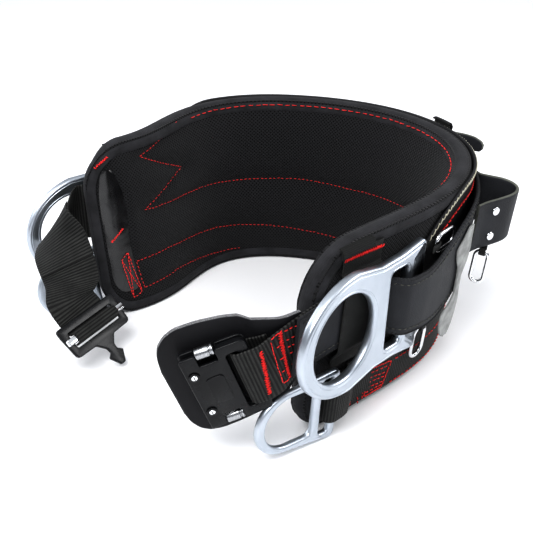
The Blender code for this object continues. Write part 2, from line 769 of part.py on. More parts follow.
def ring_loops():
    ring_loop("lower_ring_loop_right", LOOP_OUTER_RIGHT, LOOP_TURN_RIGHT, lambda s, o, z: point(s, z, o))
    ring_loop("lower_ring_loop_left", LOOP_OUTER_LEFT, LOOP_TURN_LEFT, left_loop_point)


# Front webbing and buckle on the right

def front_path():
    spot = point(FRONT_START, FRONT_Z, FRONT_O)
    frames = []
    for t in range(int(FRONT_PATH[-1][0]) + 1):
        turn, slope, lean = (math.radians(column(FRONT_PATH, t, k)) for k in (1, 2, 3))
        heading = line_at(FRONT_START - t)[2] + math.pi + turn
        ahead = Vector((math.cos(heading) * math.cos(slope), math.sin(heading) * math.cos(slope),
                        math.sin(slope)))
        outward = Vector((-math.sin(heading), math.cos(heading), 0.0))
        up = Vector((0.0, 0.0, math.cos(lean))) + outward * math.sin(lean)
        frames.append(frame_of(spot.copy(), -ahead, up - ahead * up.dot(ahead)))
        spot += ahead
    return frames


FRONT_FRAMES = front_path()


def front_point(t, w, v):
    # t along the front webbing, w outwards and v up from its middle
    whole = min(int(t), len(FRONT_FRAMES) - 2)
    a = FRONT_FRAMES[whole] @ Vector((0, v, w))
    b = FRONT_FRAMES[whole + 1] @ Vector((0, v, w))
    return a.lerp(b, t - whole)


def buckle_frame():
    return FRONT_FRAMES[int(BUCKLE_T)]


def front_webbing():
    wrap = PLATE_THICK + CAVITY / 2 + 1.2
    turn_t = BUCKLE_T - 7.5
    out = [(0, 0), (8, 0), (16, 0), (24, 0), (30, 0), (36, 0), (42, 0.6), (48, 2.2), (54, 4.2), (59, wrap),
           (63, wrap)]
    bend = half_turn(turn_t, 0.0, wrap, 8, 0.85)[::-1]
    back = [(62, -wrap), (57, -wrap + 0.5), (52, -3.6), (47, -2.4)]
    low, high = -WEB_WIDTH / 2, WEB_WIDTH / 2
    folded_strap("front_webbing_right", out + bend + back, front_point, low, high, WEB_THICK, web_finish())


def backing_plate():
    sections = []
    for t in sorted({row[0] for row in BACKING} | {31, 41, 51, 61}):
        low, high, outer = (column(BACKING, t, k) for k in (1, 2, 3))
        section = []
        for share in (0.0, 0.5, 1.0):
            v = low + (high - low) * share
            section.append((front_point(t, outer - BACKING_THICK, v), front_point(t, outer, v)))
        sections.append(section)
    slab("buckle_backing_plate", sections, rubber_finish())


def buckle_outline(notched, back=BUCKLE_BACK, mouth=BUCKLE_MOUTH):
    near, far, depth = NOTCH
    side = [(mouth, BUCKLE_HALF, 2.5)]
    if notched:
        side += [(near, BUCKLE_HALF, 0.8), (near, depth, 0.8), (far, depth, 0.8), (far, BUCKLE_HALF, 1.5)]
    side += [(back, BUCKLE_HALF, BUCKLE_CORNER)]
    return fillet([(x, -y, r) for x, y, r in side] + side[::-1], 1)


def buckle():
    frame = buckle_frame()
    near, far, half, radius = BUCKLE_SLOT
    slot = box_loop(near, far, -half, half, radius)
    bores = [circle(RIVET_X, y, RIVET_HOLE, 10) for y in (-RIVET_Y, RIVET_Y)]
    level = (CAVITY + PLATE_THICK) / 2 + PLATE_GAP / 2
    for name, height in (("buckle_base", -level), ("buckle_cover", level)):
        plate(name, buckle_outline(True), [slot] + bores, PLATE_THICK, PLATE_EDGE,
              frame @ Matrix.Translation((0, 0, height)), buckle_finish())
    outline = fillet(((-3.6, -BUCKLE_HALF + 1, 1), (BUCKLE_BACK - 0.6, -BUCKLE_HALF + 1, BUCKLE_CORNER),
                      (BUCKLE_BACK - 0.6, BUCKLE_HALF - 1, BUCKLE_CORNER), (-3.6, BUCKLE_HALF - 1, 1)), 2)
    plate("buckle_spacer", outline, [slot], CAVITY - PLATE_GAP, PLATE_EDGE, frame, buckle_finish())
    face = level + PLATE_THICK / 2 + PLATE_GAP
    for name, y in (("buckle_rivet_lower", -RIVET_Y), ("buckle_rivet_upper", RIVET_Y)):
        profile = ((RIVET_HEAD - 0.6, -face - RIVET_HEAD_TALL), (RIVET_HEAD, -face - 0.3),
                   (RIVET_HEAD, -face), (RIVET_SHAFT, -face), (RIVET_SHAFT, face), (RIVET_HEAD, face),
                   (RIVET_HEAD, face + 0.3), (RIVET_HEAD - 0.6, face + RIVET_HEAD_TALL))
        turned(name, profile, frame @ Matrix.Translation((RIVET_X, y, 0)), steel_finish(), 9)
    levers(frame)


def levers(frame):
    x0, x1, y0, y1 = LEVER
    for name, side in (("release_lever_upper", 1), ("release_lever_lower", -1)):
        outline = [(x, y * side) for x, y in box_loop(x0, x1, y0, y1, LEVER_ROUND)]
        plate(name, outline, [], LEVER_THICK, PLATE_EDGE, frame, steel_finish())


# Left webbing and tongue plate

def aim(azimuth, elevation):
    a, e = math.radians(azimuth), math.radians(elevation)
    return Vector((math.cos(a) * math.cos(e), math.sin(a) * math.cos(e), math.sin(e)))


def tongue_frame():
    return frame_of(Vector(TONGUE_PLACE), aim(*TONGUE_ACROSS), aim(*TONGUE_DOWN))


def spline(values, share):
    # Catmull-Rom through a list of vectors, share from 0 to its last index
    i = min(int(share), len(values) - 2)
    t = share - i
    a, b, c, d = (values[min(max(k, 0), len(values) - 1)] for k in (i - 1, i, i + 1, i + 2))
    return 0.5 * (2 * b + (c - a) * t + (2 * a - 5 * b + 4 * c - d) * t ** 2
                  + (3 * b - a - 3 * c + d) * t ** 3)


def left_rows():
    centres, widths = [], []
    for s in LEFT_WEB_S:
        frame = belt_frame(s, LEFT_WEB_Z, LEFT_WEB_O)
        centres.append(frame.translation.copy())
        widths.append(frame.col[1].to_3d())
    for x, y, z, azimuth, elevation in LEFT_WEB_ROWS:
        centres.append(Vector((x, y, z)))
        widths.append(aim(azimuth, elevation))
    frame = tongue_frame()
    for y, z in TONGUE_APPROACH:
        centres.append(frame @ Vector((0, y, z)))
        widths.append(frame.col[0].to_3d())
    return centres, widths


def ribbon_rows():
    centres, widths = left_rows()
    count = (len(centres) - 1) * LEFT_WEB_STEPS
    shares = [k / LEFT_WEB_STEPS for k in range(count + 1)]
    line = [spline(centres, share) for share in shares]
    spans = [spline(widths, share).normalized() for share in shares]
    frame = tongue_frame()
    for y, z in TONGUE_THREAD:
        line.append(frame @ Vector((0, y, z)))
        spans.append(frame.col[0].to_3d())
    rows = []
    for i, (centre, span) in enumerate(zip(line, spans)):
        step = (line[min(i + 1, len(line) - 1)] - line[max(i - 1, 0)]).normalized()
        span = (span - step * span.dot(step)).normalized()
        rows.append((centre, span, span.cross(step)))
    return rows


def ribbon_section(centre, span, normal, width, thick, lift=0.0):
    pairs = []
    for side in (-0.5, 0.0, 0.5):
        edge = centre + span * width * side + normal * lift
        pairs.append((edge - normal * thick / 2, edge + normal * thick / 2))
    return pairs


def left_webbing():
    rows = ribbon_rows()
    sections = [ribbon_section(*row, WEB_WIDTH, WEB_THICK) for row in rows]
    slab("front_webbing_left", sections, web_finish())
    lift = WEB_THICK / 2 + PLATE_GAP + HEM_THICK / 2
    layer = [ribbon_section(*row, WEB_WIDTH, HEM_THICK, -lift) for row in rows[HEM_ROWS[0]:HEM_ROWS[1]]]
    slab("webbing_hem_layer", layer, web_finish())


def tongue_plate():
    frame = tongue_frame()
    half, start, end, radius = TONGUE_WINDOW
    window = box_loop(-half, half, start, end, radius)
    plate("tongue_plate", fillet(TONGUE_OUTLINE, 1), [window], TONGUE_THICK, 0.7, frame, buckle_finish())
    half, start, end, thick = ADJUSTER_BAR
    outline = box_loop(-half, half, start, end, 1.2)
    plate("adjuster_bar", outline, [], thick, PLATE_EDGE,
          frame @ Matrix.Translation((0, 0, BAR_LIFT)), steel_finish())


# Tool loop, tabs and small rings

def tool_loop():
    centres = [Vector((s, o, 0)) for s, o in TOOL_PATH]
    shares = [k / 3 for k in range((len(centres) - 1) * 3 + 1)]
    route = [tuple(spline(centres, share)[:2]) for share in shares]

    def place(s, o, z):
        return point(s, z, o)

    folded_strap("tool_loop", route, place, *TOOL_HEIGHTS, TOOL_THICK, leather_finish())
    near = min(range(len(route)),
               key=lambda i: abs(route[i][0] - TOOL_RIVET_S) + abs(route[i][1] - TOOL_RIVET_O))
    before, after = route[near - 1], route[near + 1]
    for number, height in enumerate(TOOL_RIVET_HEIGHTS, 1):
        spot = place(*route[near], height)
        along = place(*after, height) - place(*before, height)
        frame = frame_of(spot, along, Vector((0, 0, 1)))
        face = TOOL_THICK / 2 + TOOL_RIVET_GAP
        profile = ((TOOL_RIVET_RADIUS, face), (TOOL_RIVET_RADIUS, face + 0.5),
                   (TOOL_RIVET_RADIUS * 0.6, face + TOOL_RIVET_TALL))
        turned("tool_loop_rivet_%d" % number, profile, frame, steel_finish())


def grey_tab():
    sections = []
    for z, s, width, o in GREY_ROWS:
        edges = (s - width / 2, s, s + width / 2)
        sections.append([(point(spot, z, o), point(spot, z, o + GREY_THICK)) for spot in edges])
    slab("grey_holder_tab", sections, suede_finish())


def rear_tab():
    centres = [Vector((s, o, 0)) for s, o in REAR_TAB_PATH]
    last = len(centres) - 1
    shares = sorted({row[0] for row in REAR_TAB_ROWS} | {0.2, 0.6})
    route = [tuple(spline(centres, share * last)[:2]) for share in shares]
    sections = []
    for share, (s, o), (ns, no) in zip(shares, route, route_normals(route)):
        half = LEATHER_THICK / 2
        low, high = column(REAR_TAB_ROWS, share, 1), column(REAR_TAB_ROWS, share, 2)
        sections.append([(point(s - ns * half, z, o - no * half), point(s + ns * half, z, o + no * half))
                         for z in (low, high)])
    slab("rear_leather_tab", sections, leather_finish())


def small_rings():
    for name, place, half_long, half_short, radius, tilt, turn, reach in RINGS:
        frame = belt_frame(*place, roll=tilt) @ Matrix.Rotation(math.radians(turn), 4, "X")
        wire_ring(name, half_long, half_short, radius, frame, steel_finish())
        end = half_long + reach
        route = [(end, -TAB_RADIUS)] + half_turn(half_long, 0.0, TAB_RADIUS, 6) + [(end, TAB_RADIUS)]
        folded_strap(name + "_tab", route, lambda along, out, across: frame @ Vector((along, across, out)),
                     -TAB_HALF, TAB_HALF, TAB_THICK, web_finish())


def stand_on_origin():
    corners = [item.matrix_world @ vertex.co for item in bpy.data.objects for vertex in item.data.vertices]
    low = Vector([min(c[k] for c in corners) for k in range(3)])
    high = Vector([max(c[k] for c in corners) for k in range(3)])
    shift = Vector((-(low.x + high.x) / 2, -(low.y + high.y) / 2, -low.z))
    for mesh in {item.data for item in bpy.data.objects}:
        mesh.transform(Matrix.Translation(shift))
    print("moved by", [round(v, 5) for v in shift], "size", [round(v, 5) for v in high - low])


def main():
    bare_scene()
    back_pad()
    pad_binding()
    end_patches()
    outer_band()
    lower_strap()
    leather_strap()
    keeper("keeper_right", KEEPER_RIGHT_SPAN, KEEPER_RIGHT_PATH)
    keeper("keeper_left", KEEPER_LEFT_SPAN, KEEPER_LEFT_PATH)
    keeper("keeper_back", KEEPER_BACK_SPAN, KEEPER_BACK_PATH)
    side_rings()
    lower_rings()
    ring_loops()
    front_webbing()
    backing_plate()
    buckle()
    left_webbing()
    tongue_plate()
    tool_loop()
    grey_tab()
    rear_tab()
    small_rings()
    stand_on_origin()


main()
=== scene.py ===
import math

import bpy
import bmesh
import numpy as np
from mathutils import Matrix, Vector
from mathutils.bvhtree import BVHTree


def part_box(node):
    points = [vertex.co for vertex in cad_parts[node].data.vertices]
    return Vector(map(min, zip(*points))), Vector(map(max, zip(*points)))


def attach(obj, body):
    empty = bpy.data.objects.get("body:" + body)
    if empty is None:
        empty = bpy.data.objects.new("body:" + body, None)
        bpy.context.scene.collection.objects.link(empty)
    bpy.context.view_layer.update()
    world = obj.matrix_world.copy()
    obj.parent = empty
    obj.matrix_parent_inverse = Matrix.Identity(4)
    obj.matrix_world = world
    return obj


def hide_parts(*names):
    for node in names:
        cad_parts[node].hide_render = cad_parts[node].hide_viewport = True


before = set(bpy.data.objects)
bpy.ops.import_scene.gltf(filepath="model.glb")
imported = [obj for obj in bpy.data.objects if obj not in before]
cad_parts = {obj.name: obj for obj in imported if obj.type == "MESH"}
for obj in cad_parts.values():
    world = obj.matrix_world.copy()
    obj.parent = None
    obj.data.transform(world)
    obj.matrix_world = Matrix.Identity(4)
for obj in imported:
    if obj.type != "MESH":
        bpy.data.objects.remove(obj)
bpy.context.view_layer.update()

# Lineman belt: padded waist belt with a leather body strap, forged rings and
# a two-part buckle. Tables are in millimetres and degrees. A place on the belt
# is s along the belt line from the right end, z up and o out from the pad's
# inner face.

chance = np.random.default_rng(11)

beltLine = {"start": (79.5, -74.2), "heading": 87.1, "knot": 70.0, "lean": 0.104,
            "turns": (-10.6, 0.0, 35.3, 43.4, 35.5, 22.7, 74.2, -33.6, -60.2)}
padSize = {"right": -2.0, "left": 565.0, "thick": 12.0, "endHeight": 143.0, "backHeight": 146.0,
           "topRadius": 40.0, "lowRadius": 30.0, "slant": 10.0}
webWidth = 45.0
webThick = 1.5
ribUnit = 2.0


# Belt line

def runningSum(values):
    return np.concatenate([[0.0], np.cumsum((values[1:] + values[:-1]) / 2)])


def readBeltLine():
    last = beltLine["knot"] * (len(beltLine["turns"]) - 1)
    stops = np.arange(0.0, last + 1.0)
    knots = np.arange(len(beltLine["turns"])) * beltLine["knot"]
    rate = np.radians(np.interp(stops, knots, beltLine["turns"])) / beltLine["knot"]
    heading = math.radians(beltLine["heading"]) + runningSum(rate)
    x = beltLine["start"][0] + runningSum(np.cos(heading))
    y = beltLine["start"][1] + runningSum(np.sin(heading))
    return stops, x, y, heading


lineTable = readBeltLine()


def lineAt(s):
    stops, xs, ys, headings = lineTable
    inside = np.clip(s, 0.0, stops[-1])
    heading = np.interp(inside, stops, headings)
    beyond = s - inside
    x = np.interp(inside, stops, xs) + beyond * np.cos(heading)
    y = np.interp(inside, stops, ys) + beyond * np.sin(heading)
    return x, y, heading


def onBelt(s, z, o):
    s, z, o = np.broadcast_arrays(np.asarray(s, float), np.asarray(z, float), np.asarray(o, float))
    x, y, heading = lineAt(s)
    out = o + beltLine["lean"] * z
    return np.stack([x + np.sin(heading) * out, y - np.cos(heading) * out, z], axis=-1)


def offBelt(s, z, o, rise=1.0):
    # a place on the belt and the way off it, inwards where rise is negative
    spot = onBelt(s, z, o)
    return spot, onBelt(s, z, o + rise) - spot


def alongBelt(s, o, z):
    return onBelt(s, z, o)


def acrossBelt(z, o, s):
    return onBelt(s, z, o)


def mirrored(s):
    return padSize["left"] + padSize["right"] - s


def frameOf(origin, xAxis, yAxis):
    xAxis = Vector(xAxis).normalized()
    zAxis = xAxis.cross(Vector(yAxis)).normalized()
    placing = Matrix((xAxis, zAxis.cross(xAxis), zAxis)).transposed().to_4x4()
    placing.translation = Vector(origin)
    return placing


def beltFrame(s, z, o, heading=None, roll=0.0, back=1.0):
    # x along the belt, y up with the belt's lean, z out where back is 1
    if heading is None:
        heading = float(lineAt(s)[2])
    along = Vector((math.cos(heading), math.sin(heading), 0.0)) * back
    outward = Vector((math.sin(heading), -math.cos(heading), 0.0))
    up = (Vector((0.0, 0.0, 1.0)) + outward * beltLine["lean"]).normalized()
    return frameOf(onBelt(s, z, o), along, up) @ Matrix.Rotation(math.radians(roll), 4, "Z")


def throughFrame(placing, points):
    turn = np.array(placing.to_3x3())
    return np.asarray(points, float) @ turn.T + np.array(placing.translation)


lowRing = {"place": (108.0, 36.0, 19.8)}
ringLow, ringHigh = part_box("low_ring")
shift = np.array((ringLow + ringHigh) / 2) * 1000 - onBelt(*lowRing["place"])
toMetres = Matrix.Scale(0.001, 4) @ Matrix.Translation(Vector(shift))


def metres(points):
    return (np.asarray(points, float) + shift) * 0.001


# Materials

def newMaterial(name, colour, roughness, metallic=0.0, shine=0.5, sheen=0.0):
    material = bpy.data.materials.new(name)
    material.use_nodes = True
    shader = material.node_tree.nodes["Principled BSDF"]
    shader.inputs["Specular IOR Level"].default_value = shine
    shader.inputs["Sheen Weight"].default_value = sheen
    shader.inputs["Base Color"].default_value = (*colour, 1.0)
    shader.inputs["Roughness"].default_value = roughness
    shader.inputs["Metallic"].default_value = metallic
    return material, shader


def addNode(material, kind, **values):
    node = material.node_tree.nodes.new(kind)
    for key, value in values.items():
        if key in node.inputs:
            node.inputs[key].default_value = value
        else:
            setattr(node, key, value)
    return node


def link(material, source, target):
    material.node_tree.links.new(source, target)


def coordinates(material, kind, scale=(1.0, 1.0, 1.0), turn=(0.0, 0.0, 0.0)):
    spot = addNode(material, "ShaderNodeTexCoord")
    mapping = addNode(material, "ShaderNodeMapping", Scale=scale, Rotation=turn)
    link(material, spot.outputs[kind], mapping.inputs["Vector"])
    return mapping.outputs["Vector"]


def noise(material, vector, scale, detail=3.0, roughness=0.55):
    node = addNode(material, "ShaderNodeTexNoise", Scale=scale, Detail=detail, Roughness=roughness)
    link(material, vector, node.inputs["Vector"])
    return node.outputs["Fac"]


def ramp(material, source, low, high, start=0.3, end=0.7):
    # a value, or a colour, that runs between two stops
    node = addNode(material, "ShaderNodeValToRGB")
    for element, place, value in zip(node.color_ramp.elements, (start, end), (low, high)):
        element.position = place
        element.color = (*value, 1.0) if hasattr(value, "__len__") else (value, value, value, 1.0)
    link(material, source, node.inputs["Fac"])
    return node.outputs["Color"]


def combine(material, operation, first, second):
    node = addNode(material, "ShaderNodeMath", operation=operation)
    for socket, value in zip(node.inputs, (first, second)):
        if isinstance(value, (int, float)):
            socket.default_value = value
        else:
            link(material, value, socket)
    return node.outputs["Value"]


def bumped(material, shader, height, distance, strength=1.0):
    bump = addNode(material, "ShaderNodeBump", Distance=distance, Strength=strength)
    link(material, height, bump.inputs["Height"])
    link(material, bump.outputs["Normal"], shader.inputs["Normal"])


def tinted(material, shader, source, dark, light, start=0.3, end=0.7):
    link(material, ramp(material, source, dark, light, start, end), shader.inputs["Base Color"])


def roughened(material, shader, source, low, high):
    link(material, ramp(material, source, low, high, 0.25, 0.75), shader.inputs["Roughness"])


def wave(material, vector, axis, pitch):
    # sine bands along one axis of the vector, from 0 to 1
    split = addNode(material, "ShaderNodeSeparateXYZ")
    link(material, vector, split.inputs["Vector"])
    turns = combine(material, "MULTIPLY", split.outputs[axis], 2 * math.pi / pitch)
    sine = combine(material, "SINE", turns, 0.0)
    return combine(material, "MULTIPLY_ADD", sine, 0.5)


def spacerMesh():
    material, shader = newMaterial("blackSpacerMesh", (0.012, 0.012, 0.013), 0.9, shine=0.05, sheen=0.08)
    cloth = coordinates(material, "UV")
    turned = coordinates(material, "UV", (1, 1, 1), (0, 0, math.radians(45)))
    holes = combine(material, "MULTIPLY", wave(material, turned, "X", 0.0021),
                    wave(material, turned, "Y", 0.0021))
    fuzz = noise(material, cloth, 2600.0, 2.0)
    height = combine(material, "SUBTRACT", combine(material, "MULTIPLY", fuzz, 0.35), holes)
    bumped(material, shader, height, 0.0006)
    # the holes are painted darker than the yarns round them, as painted shade in the holes
    tinted(material, shader, holes, (0.021, 0.021, 0.0225), (0.0015, 0.0015, 0.0015), 0.2, 0.75)
    return material


def bindingTape():
    material, shader = newMaterial("greyBindingTape", (0.035, 0.035, 0.038), 0.82, shine=0.12, sheen=0.05)
    cloth = coordinates(material, "UV")
    ribs = wave(material, cloth, "Y", 0.0009)
    lines = wave(material, cloth, "X", 0.0016)
    patches = noise(material, cloth, 60.0, 4.0)
    height = combine(material, "ADD", ribs, combine(material, "MULTIPLY", lines, 0.5))
    bumped(material, shader, height, 0.00012)
    tinted(material, shader, patches, (0.018, 0.018, 0.0195), (0.036, 0.036, 0.04))
    return material


def webbing(name, crest=0.046):
    # V counts the ribs, one for each ribUnit, with painted shade between them and a painted highlight on
    # their tops
    material, shader = newMaterial(name, (crest, crest, crest), 0.62, shine=0.25, sheen=0.03)
    cloth = coordinates(material, "UV")
    split = addNode(material, "ShaderNodeSeparateXYZ")
    link(material, cloth, split.inputs["Vector"])
    turns = combine(material, "MULTIPLY", split.outputs["Y"], math.pi / (ribUnit * 0.001))
    # painted shade in the grooves between the ribs and painted highlight on the rib tops
    ribShade = combine(material, "ABSOLUTE", combine(material, "SINE", turns, 0.0), 0.0)
    fine = combine(material, "MULTIPLY", wave(material, cloth, "X", 0.0009),
                   wave(material, cloth, "Y", 0.0005))
    fuzz = noise(material, cloth, 1500.0, 2.0)
    height = combine(material, "ADD", fine, combine(material, "MULTIPLY", fuzz, 0.6))
    bumped(material, shader, height, 0.00014)
    worn = combine(material, "MULTIPLY_ADD", noise(material, cloth, 90.0, 3.0), 0.9)
    yarns = combine(material, "MULTIPLY_ADD", wave(material, cloth, "X", 0.0011), 0.5)
    toneAndRibShade = combine(material, "MULTIPLY", combine(material, "MULTIPLY", ribShade, worn), yarns)
    tinted(material, shader, toneAndRibShade, (0.002, 0.002, 0.002), (crest * 0.98, crest, crest * 0.94), 0.3, 1.0)
    return material


def leather(name, dark, light, roughness=(0.42, 0.62)):
    material, shader = newMaterial(name, light, 0.55, shine=0.16)
    skin = coordinates(material, "Object")
    cells = addNode(material, "ShaderNodeTexVoronoi", feature="SMOOTH_F1", Scale=1150.0)
    link(material, skin, cells.inputs["Vector"])
    grain = noise(material, skin, 700.0, 5.0)
    height = combine(material, "ADD", cells.outputs["Distance"], combine(material, "MULTIPLY", grain, 0.8))
    bumped(material, shader, height, 0.00022, 0.8)
    clouds = noise(material, skin, 38.0, 4.0)
    tinted(material, shader, clouds, dark, light)
    roughened(material, shader, clouds, *roughness)
    return material


def mottled(name, base, roughness, dark, light, grain, clouds=None, bump=0.0, rough=None, metallic=0.0,
            shine=0.5, sheen=0.0, stretch=(1.0, 1.0, 1.0)):
    # a fine grain for the bump and wide clouds for the colour; without clouds the grain does both
    material, shader = newMaterial(name, base, roughness, metallic, shine, sheen)
    skin = coordinates(material, "Object", stretch)
    fine = noise(material, skin, *grain)
    wide = noise(material, skin, *clouds) if clouds else fine
    if bump:
        bumped(material, shader, fine, bump)
    tinted(material, shader, wide, dark, light)
    if rough:
        roughened(material, shader, wide, *rough)
    return material


def thread(name, dark, light):
    return mottled(name, light, 0.6, dark, light, (900.0, 3.0), bump=0.00015, shine=0.3, sheen=0.05)


finishes = {
    "spacer": spacerMesh(), "tape": bindingTape(), "web": webbing("blackWebbing"),
    "webDark": webbing("darkWebbing", 0.012),
    "leather": leather("charcoalLeather", (0.017, 0.0178, 0.0205), (0.034, 0.0355, 0.04)),
    "leatherEdge": leather("cutLeatherEdge", (0.06, 0.062, 0.055), (0.14, 0.145, 0.125), (0.7, 0.85)),
    "shell": mottled("coatedShell", (0.016, 0.016, 0.018), 0.55, (0.01, 0.01, 0.011), (0.022, 0.022, 0.024),
                     (1400.0, 3.0), (30.0, 4.0), 0.00016, (0.45, 0.66), shine=0.25),
    "vinyl": mottled("blackVinyl", (0.012, 0.012, 0.013), 0.26, (0.003, 0.003, 0.0035), (0.01, 0.01, 0.011),
                     (55.0, 1.5), None, 0.0009, (0.2, 0.32), shine=0.75),
    "rubber": mottled("blackRubberSheet", (0.008, 0.008, 0.009), 0.62, (0.009, 0.009, 0.0105),
                      (0.016, 0.016, 0.0185), (1700.0, 2.0), (26.0, 3.0), 0.0001, (0.52, 0.7), shine=0.18),
    # grey felt for the backing's rims, partly a felt edge and partly a painted highlight along those edges
    "feltAndHighlight": mottled("greyFeltEdgeAndHighlight", (0.12, 0.12, 0.125), 0.95, (0.03, 0.03, 0.032), (0.28, 0.28, 0.29),
                    (1600.0, 4.0), bump=0.0006),
    "suede": mottled("lightGreyTab", (0.42, 0.43, 0.43), 0.9, (0.2, 0.205, 0.2), (0.36, 0.365, 0.36),
                     (900.0, 4.0), (120.0, 4.0), 0.0003),
    "aluminium": mottled("satinAluminium", (0.5, 0.54, 0.59), 0.34, (0.44, 0.48, 0.53), (0.54, 0.58, 0.63),
                         (1800.0, 3.0), (45.0, 4.0), 0.00004, (0.3, 0.46), 1.0),
    "steel": mottled("polishedSteel", (0.72, 0.73, 0.75), 0.16, (0.66, 0.67, 0.69), (0.78, 0.79, 0.8),
                     (70.0, 4.0), rough=(0.1, 0.24), metallic=1.0),
    "brushed": mottled("brushedSteel", (0.6, 0.61, 0.62), 0.3, (0.3, 0.305, 0.31), (0.46, 0.47, 0.49),
                       (1800.0, 2.0), None, 0.00002, (0.22, 0.32), 1.0, stretch=(1.0, 1.0, 0.05)),
    "black": mottled("blackSatinMetal", (0.006, 0.0065, 0.0075), 0.3, (0.004, 0.0043, 0.005),
                     (0.008, 0.0085, 0.01), (2200.0, 2.0), (55.0, 4.0), 0.00003, (0.2, 0.34), shine=0.24),
    "red": thread("redThread", (0.5, 0.008, 0.01), (0.88, 0.035, 0.03)),
    "cream": thread("creamThread", (0.32, 0.3, 0.22), (0.62, 0.6, 0.5)),
    "dark": thread("darkThread", (0.006, 0.006, 0.007), (0.03, 0.03, 0.031)),
    "olive": thread("oliveThread", (0.05, 0.05, 0.042), (0.12, 0.12, 0.1))}
print("materials made")


# Mesh helpers

def belongs(piece, slotName, *nodes, body="belt"):
    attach(piece, body)
    if nodes:
        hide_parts(*nodes)
    return piece


def newPiece(name, mesh, angle):
    # links the mesh as an object, its faces turned outwards and smooth up to the angle
    piece = bpy.data.objects.new(name, mesh)
    bpy.context.scene.collection.objects.link(piece)
    shape = bmesh.new()
    shape.from_mesh(mesh)
    bmesh.ops.recalc_face_normals(shape, faces=shape.faces)
    if shape.calc_volume(signed=True) < 0:
        bmesh.ops.reverse_faces(shape, faces=shape.faces)
    shape.to_mesh(mesh)
    shape.free()
    mesh.shade_smooth()
    mesh.set_sharp_from_angle(angle=math.radians(angle))
    return piece


def gridFaces(rows, columns, start=0, loop=False):
    i = np.arange(rows if loop else rows - 1)[:, None]
    j = np.arange(columns - 1)[None, :]
    following = (i + 1) % rows
    corners = (i * columns + j, following * columns + j, following * columns + j + 1, i * columns + j + 1)
    return np.stack([c + start for c in np.broadcast_arrays(*corners)], axis=-1).reshape(-1, 4)


def shellPiece(name, outer, inner, along, across, finish, loop=False, edgeFinish=None, edgeColumns=0):
    # two grids of the same size, in millimetres, joined round their rims
    rows, columns = outer.shape[:2]
    count = rows * columns
    i = np.arange(rows if loop else rows - 1)
    j = np.arange(columns - 1)
    sides = [(i * columns + k, (i + 1) % rows * columns + k) for k in (0, columns - 1)]
    if not loop:
        sides += [(k * columns + j, k * columns + j + 1) for k in (0, rows - 1)]
    rim = np.concatenate([np.stack([a, b, count + b, count + a], axis=-1) for a, b in sides])
    faces = np.concatenate([gridFaces(rows, columns, 0, loop), gridFaces(rows, columns, count, loop)[:, ::-1],
                            rim])
    mesh = bpy.data.meshes.new(name)
    points = metres(np.concatenate([outer.reshape(-1, 3), inner.reshape(-1, 3)]))
    mesh.from_pydata(points.tolist(), [], faces.tolist())
    along = np.asarray(along, float)
    along = np.broadcast_to(along if along.ndim == 2 else along[:, None], (rows, columns))
    places = np.stack([np.broadcast_to(across, (rows, columns)), along], axis=-1).reshape(-1, 2) * 0.001
    corners = np.concatenate([places, places])[faces]
    if loop:
        # the faces that close the loop run on past its end in the cloth map
        v = corners[:, :, 1]
        closing = (np.ptp(v, axis=1) > 0.2)[:, None] & (v < 0.1)
        v[closing] += (along.max() + np.linalg.norm(outer[0, 0] - outer[-1, 0])) * 0.001
    mesh.uv_layers.new(name="cloth").data.foreach_set("uv", corners.reshape(-1))
    mesh.materials.append(finishes[finish])
    if edgeFinish:
        mesh.materials.append(finishes[edgeFinish])
        start = len(faces) - len(rim)
        nth = np.arange(start) % (columns - 1)
        index = np.ones(len(faces), int)
        index[:start] = (nth < edgeColumns) | (nth >= columns - 1 - edgeColumns)
        mesh.polygons.foreach_set("material_index", index)
    return newPiece(name, mesh, 50.0)


def stripProfile(width, thick, columns=12):
    # places across a flat strap and half its thickness there, with round edges
    round_ = thick / 2
    turns = np.radians([84, 60, 36, 12])
    edge = width / 2 - round_ + round_ * np.sin(turns)
    rise = round_ * np.cos(turns)
    inner = width / 2 - thick
    middle = np.linspace(-inner, inner, columns)
    across = np.concatenate([-edge, middle, edge[::-1]])
    half = np.concatenate([rise, np.full(columns, round_), rise[::-1]])
    return across, half


def smoothed(values, reach):
    # running average with a bell weight, ends held
    reach = int(reach)
    if reach < 1:
        return values
    weight = np.hanning(2 * reach + 3)[1:-1]
    weight /= weight.sum()
    head = 2 * values[:1] - values[1:reach + 1][::-1]
    tail = 2 * values[-1:] - values[-reach - 1:-1][::-1]
    padded = np.concatenate([head, values, tail])
    if values.ndim == 1:
        return np.convolve(padded, weight, "valid")
    return np.stack([np.convolve(padded[:, k], weight, "valid") for k in range(values.shape[1])], axis=-1)


def spansOf(points):
    return np.linalg.norm(np.diff(points, axis=0), axis=1)


def travelAlong(points):
    return np.concatenate([[0.0], np.cumsum(spansOf(points))])


def unit(rows):
    return rows / np.maximum(np.linalg.norm(rows, axis=-1, keepdims=True), 1e-6)


def sampled(at, travel, rows):
    return np.stack([np.interp(at, travel, values) for values in rows.T], axis=-1)


def resampled(route, step):
    # even stops along a route, and the places there
    route = np.asarray(route, float)
    travel = travelAlong(route)
    stops = np.linspace(0.0, travel[-1], max(2, int(round(travel[-1] / step)) + 1))
    return stops, sampled(stops, travel, route)


def readRows(table, at, reach=0):
    # every column after the first, read at the places given and smoothed over reach
    table = np.asarray(table, float)
    return [smoothed(np.interp(at, table[:, 0], values), reach) for values in table[:, 1:].T]


def between(low, high, share):
    # a row of places for each stop, with share from -0.5 at low to 0.5 at high
    return (low + high)[:, None] / 2 + share * (high - low)[:, None]


def turnedLeft(line):
    ahead = unit(np.gradient(line, axis=0))
    return np.stack([-ahead[:, 1], ahead[:, 0]], axis=-1)


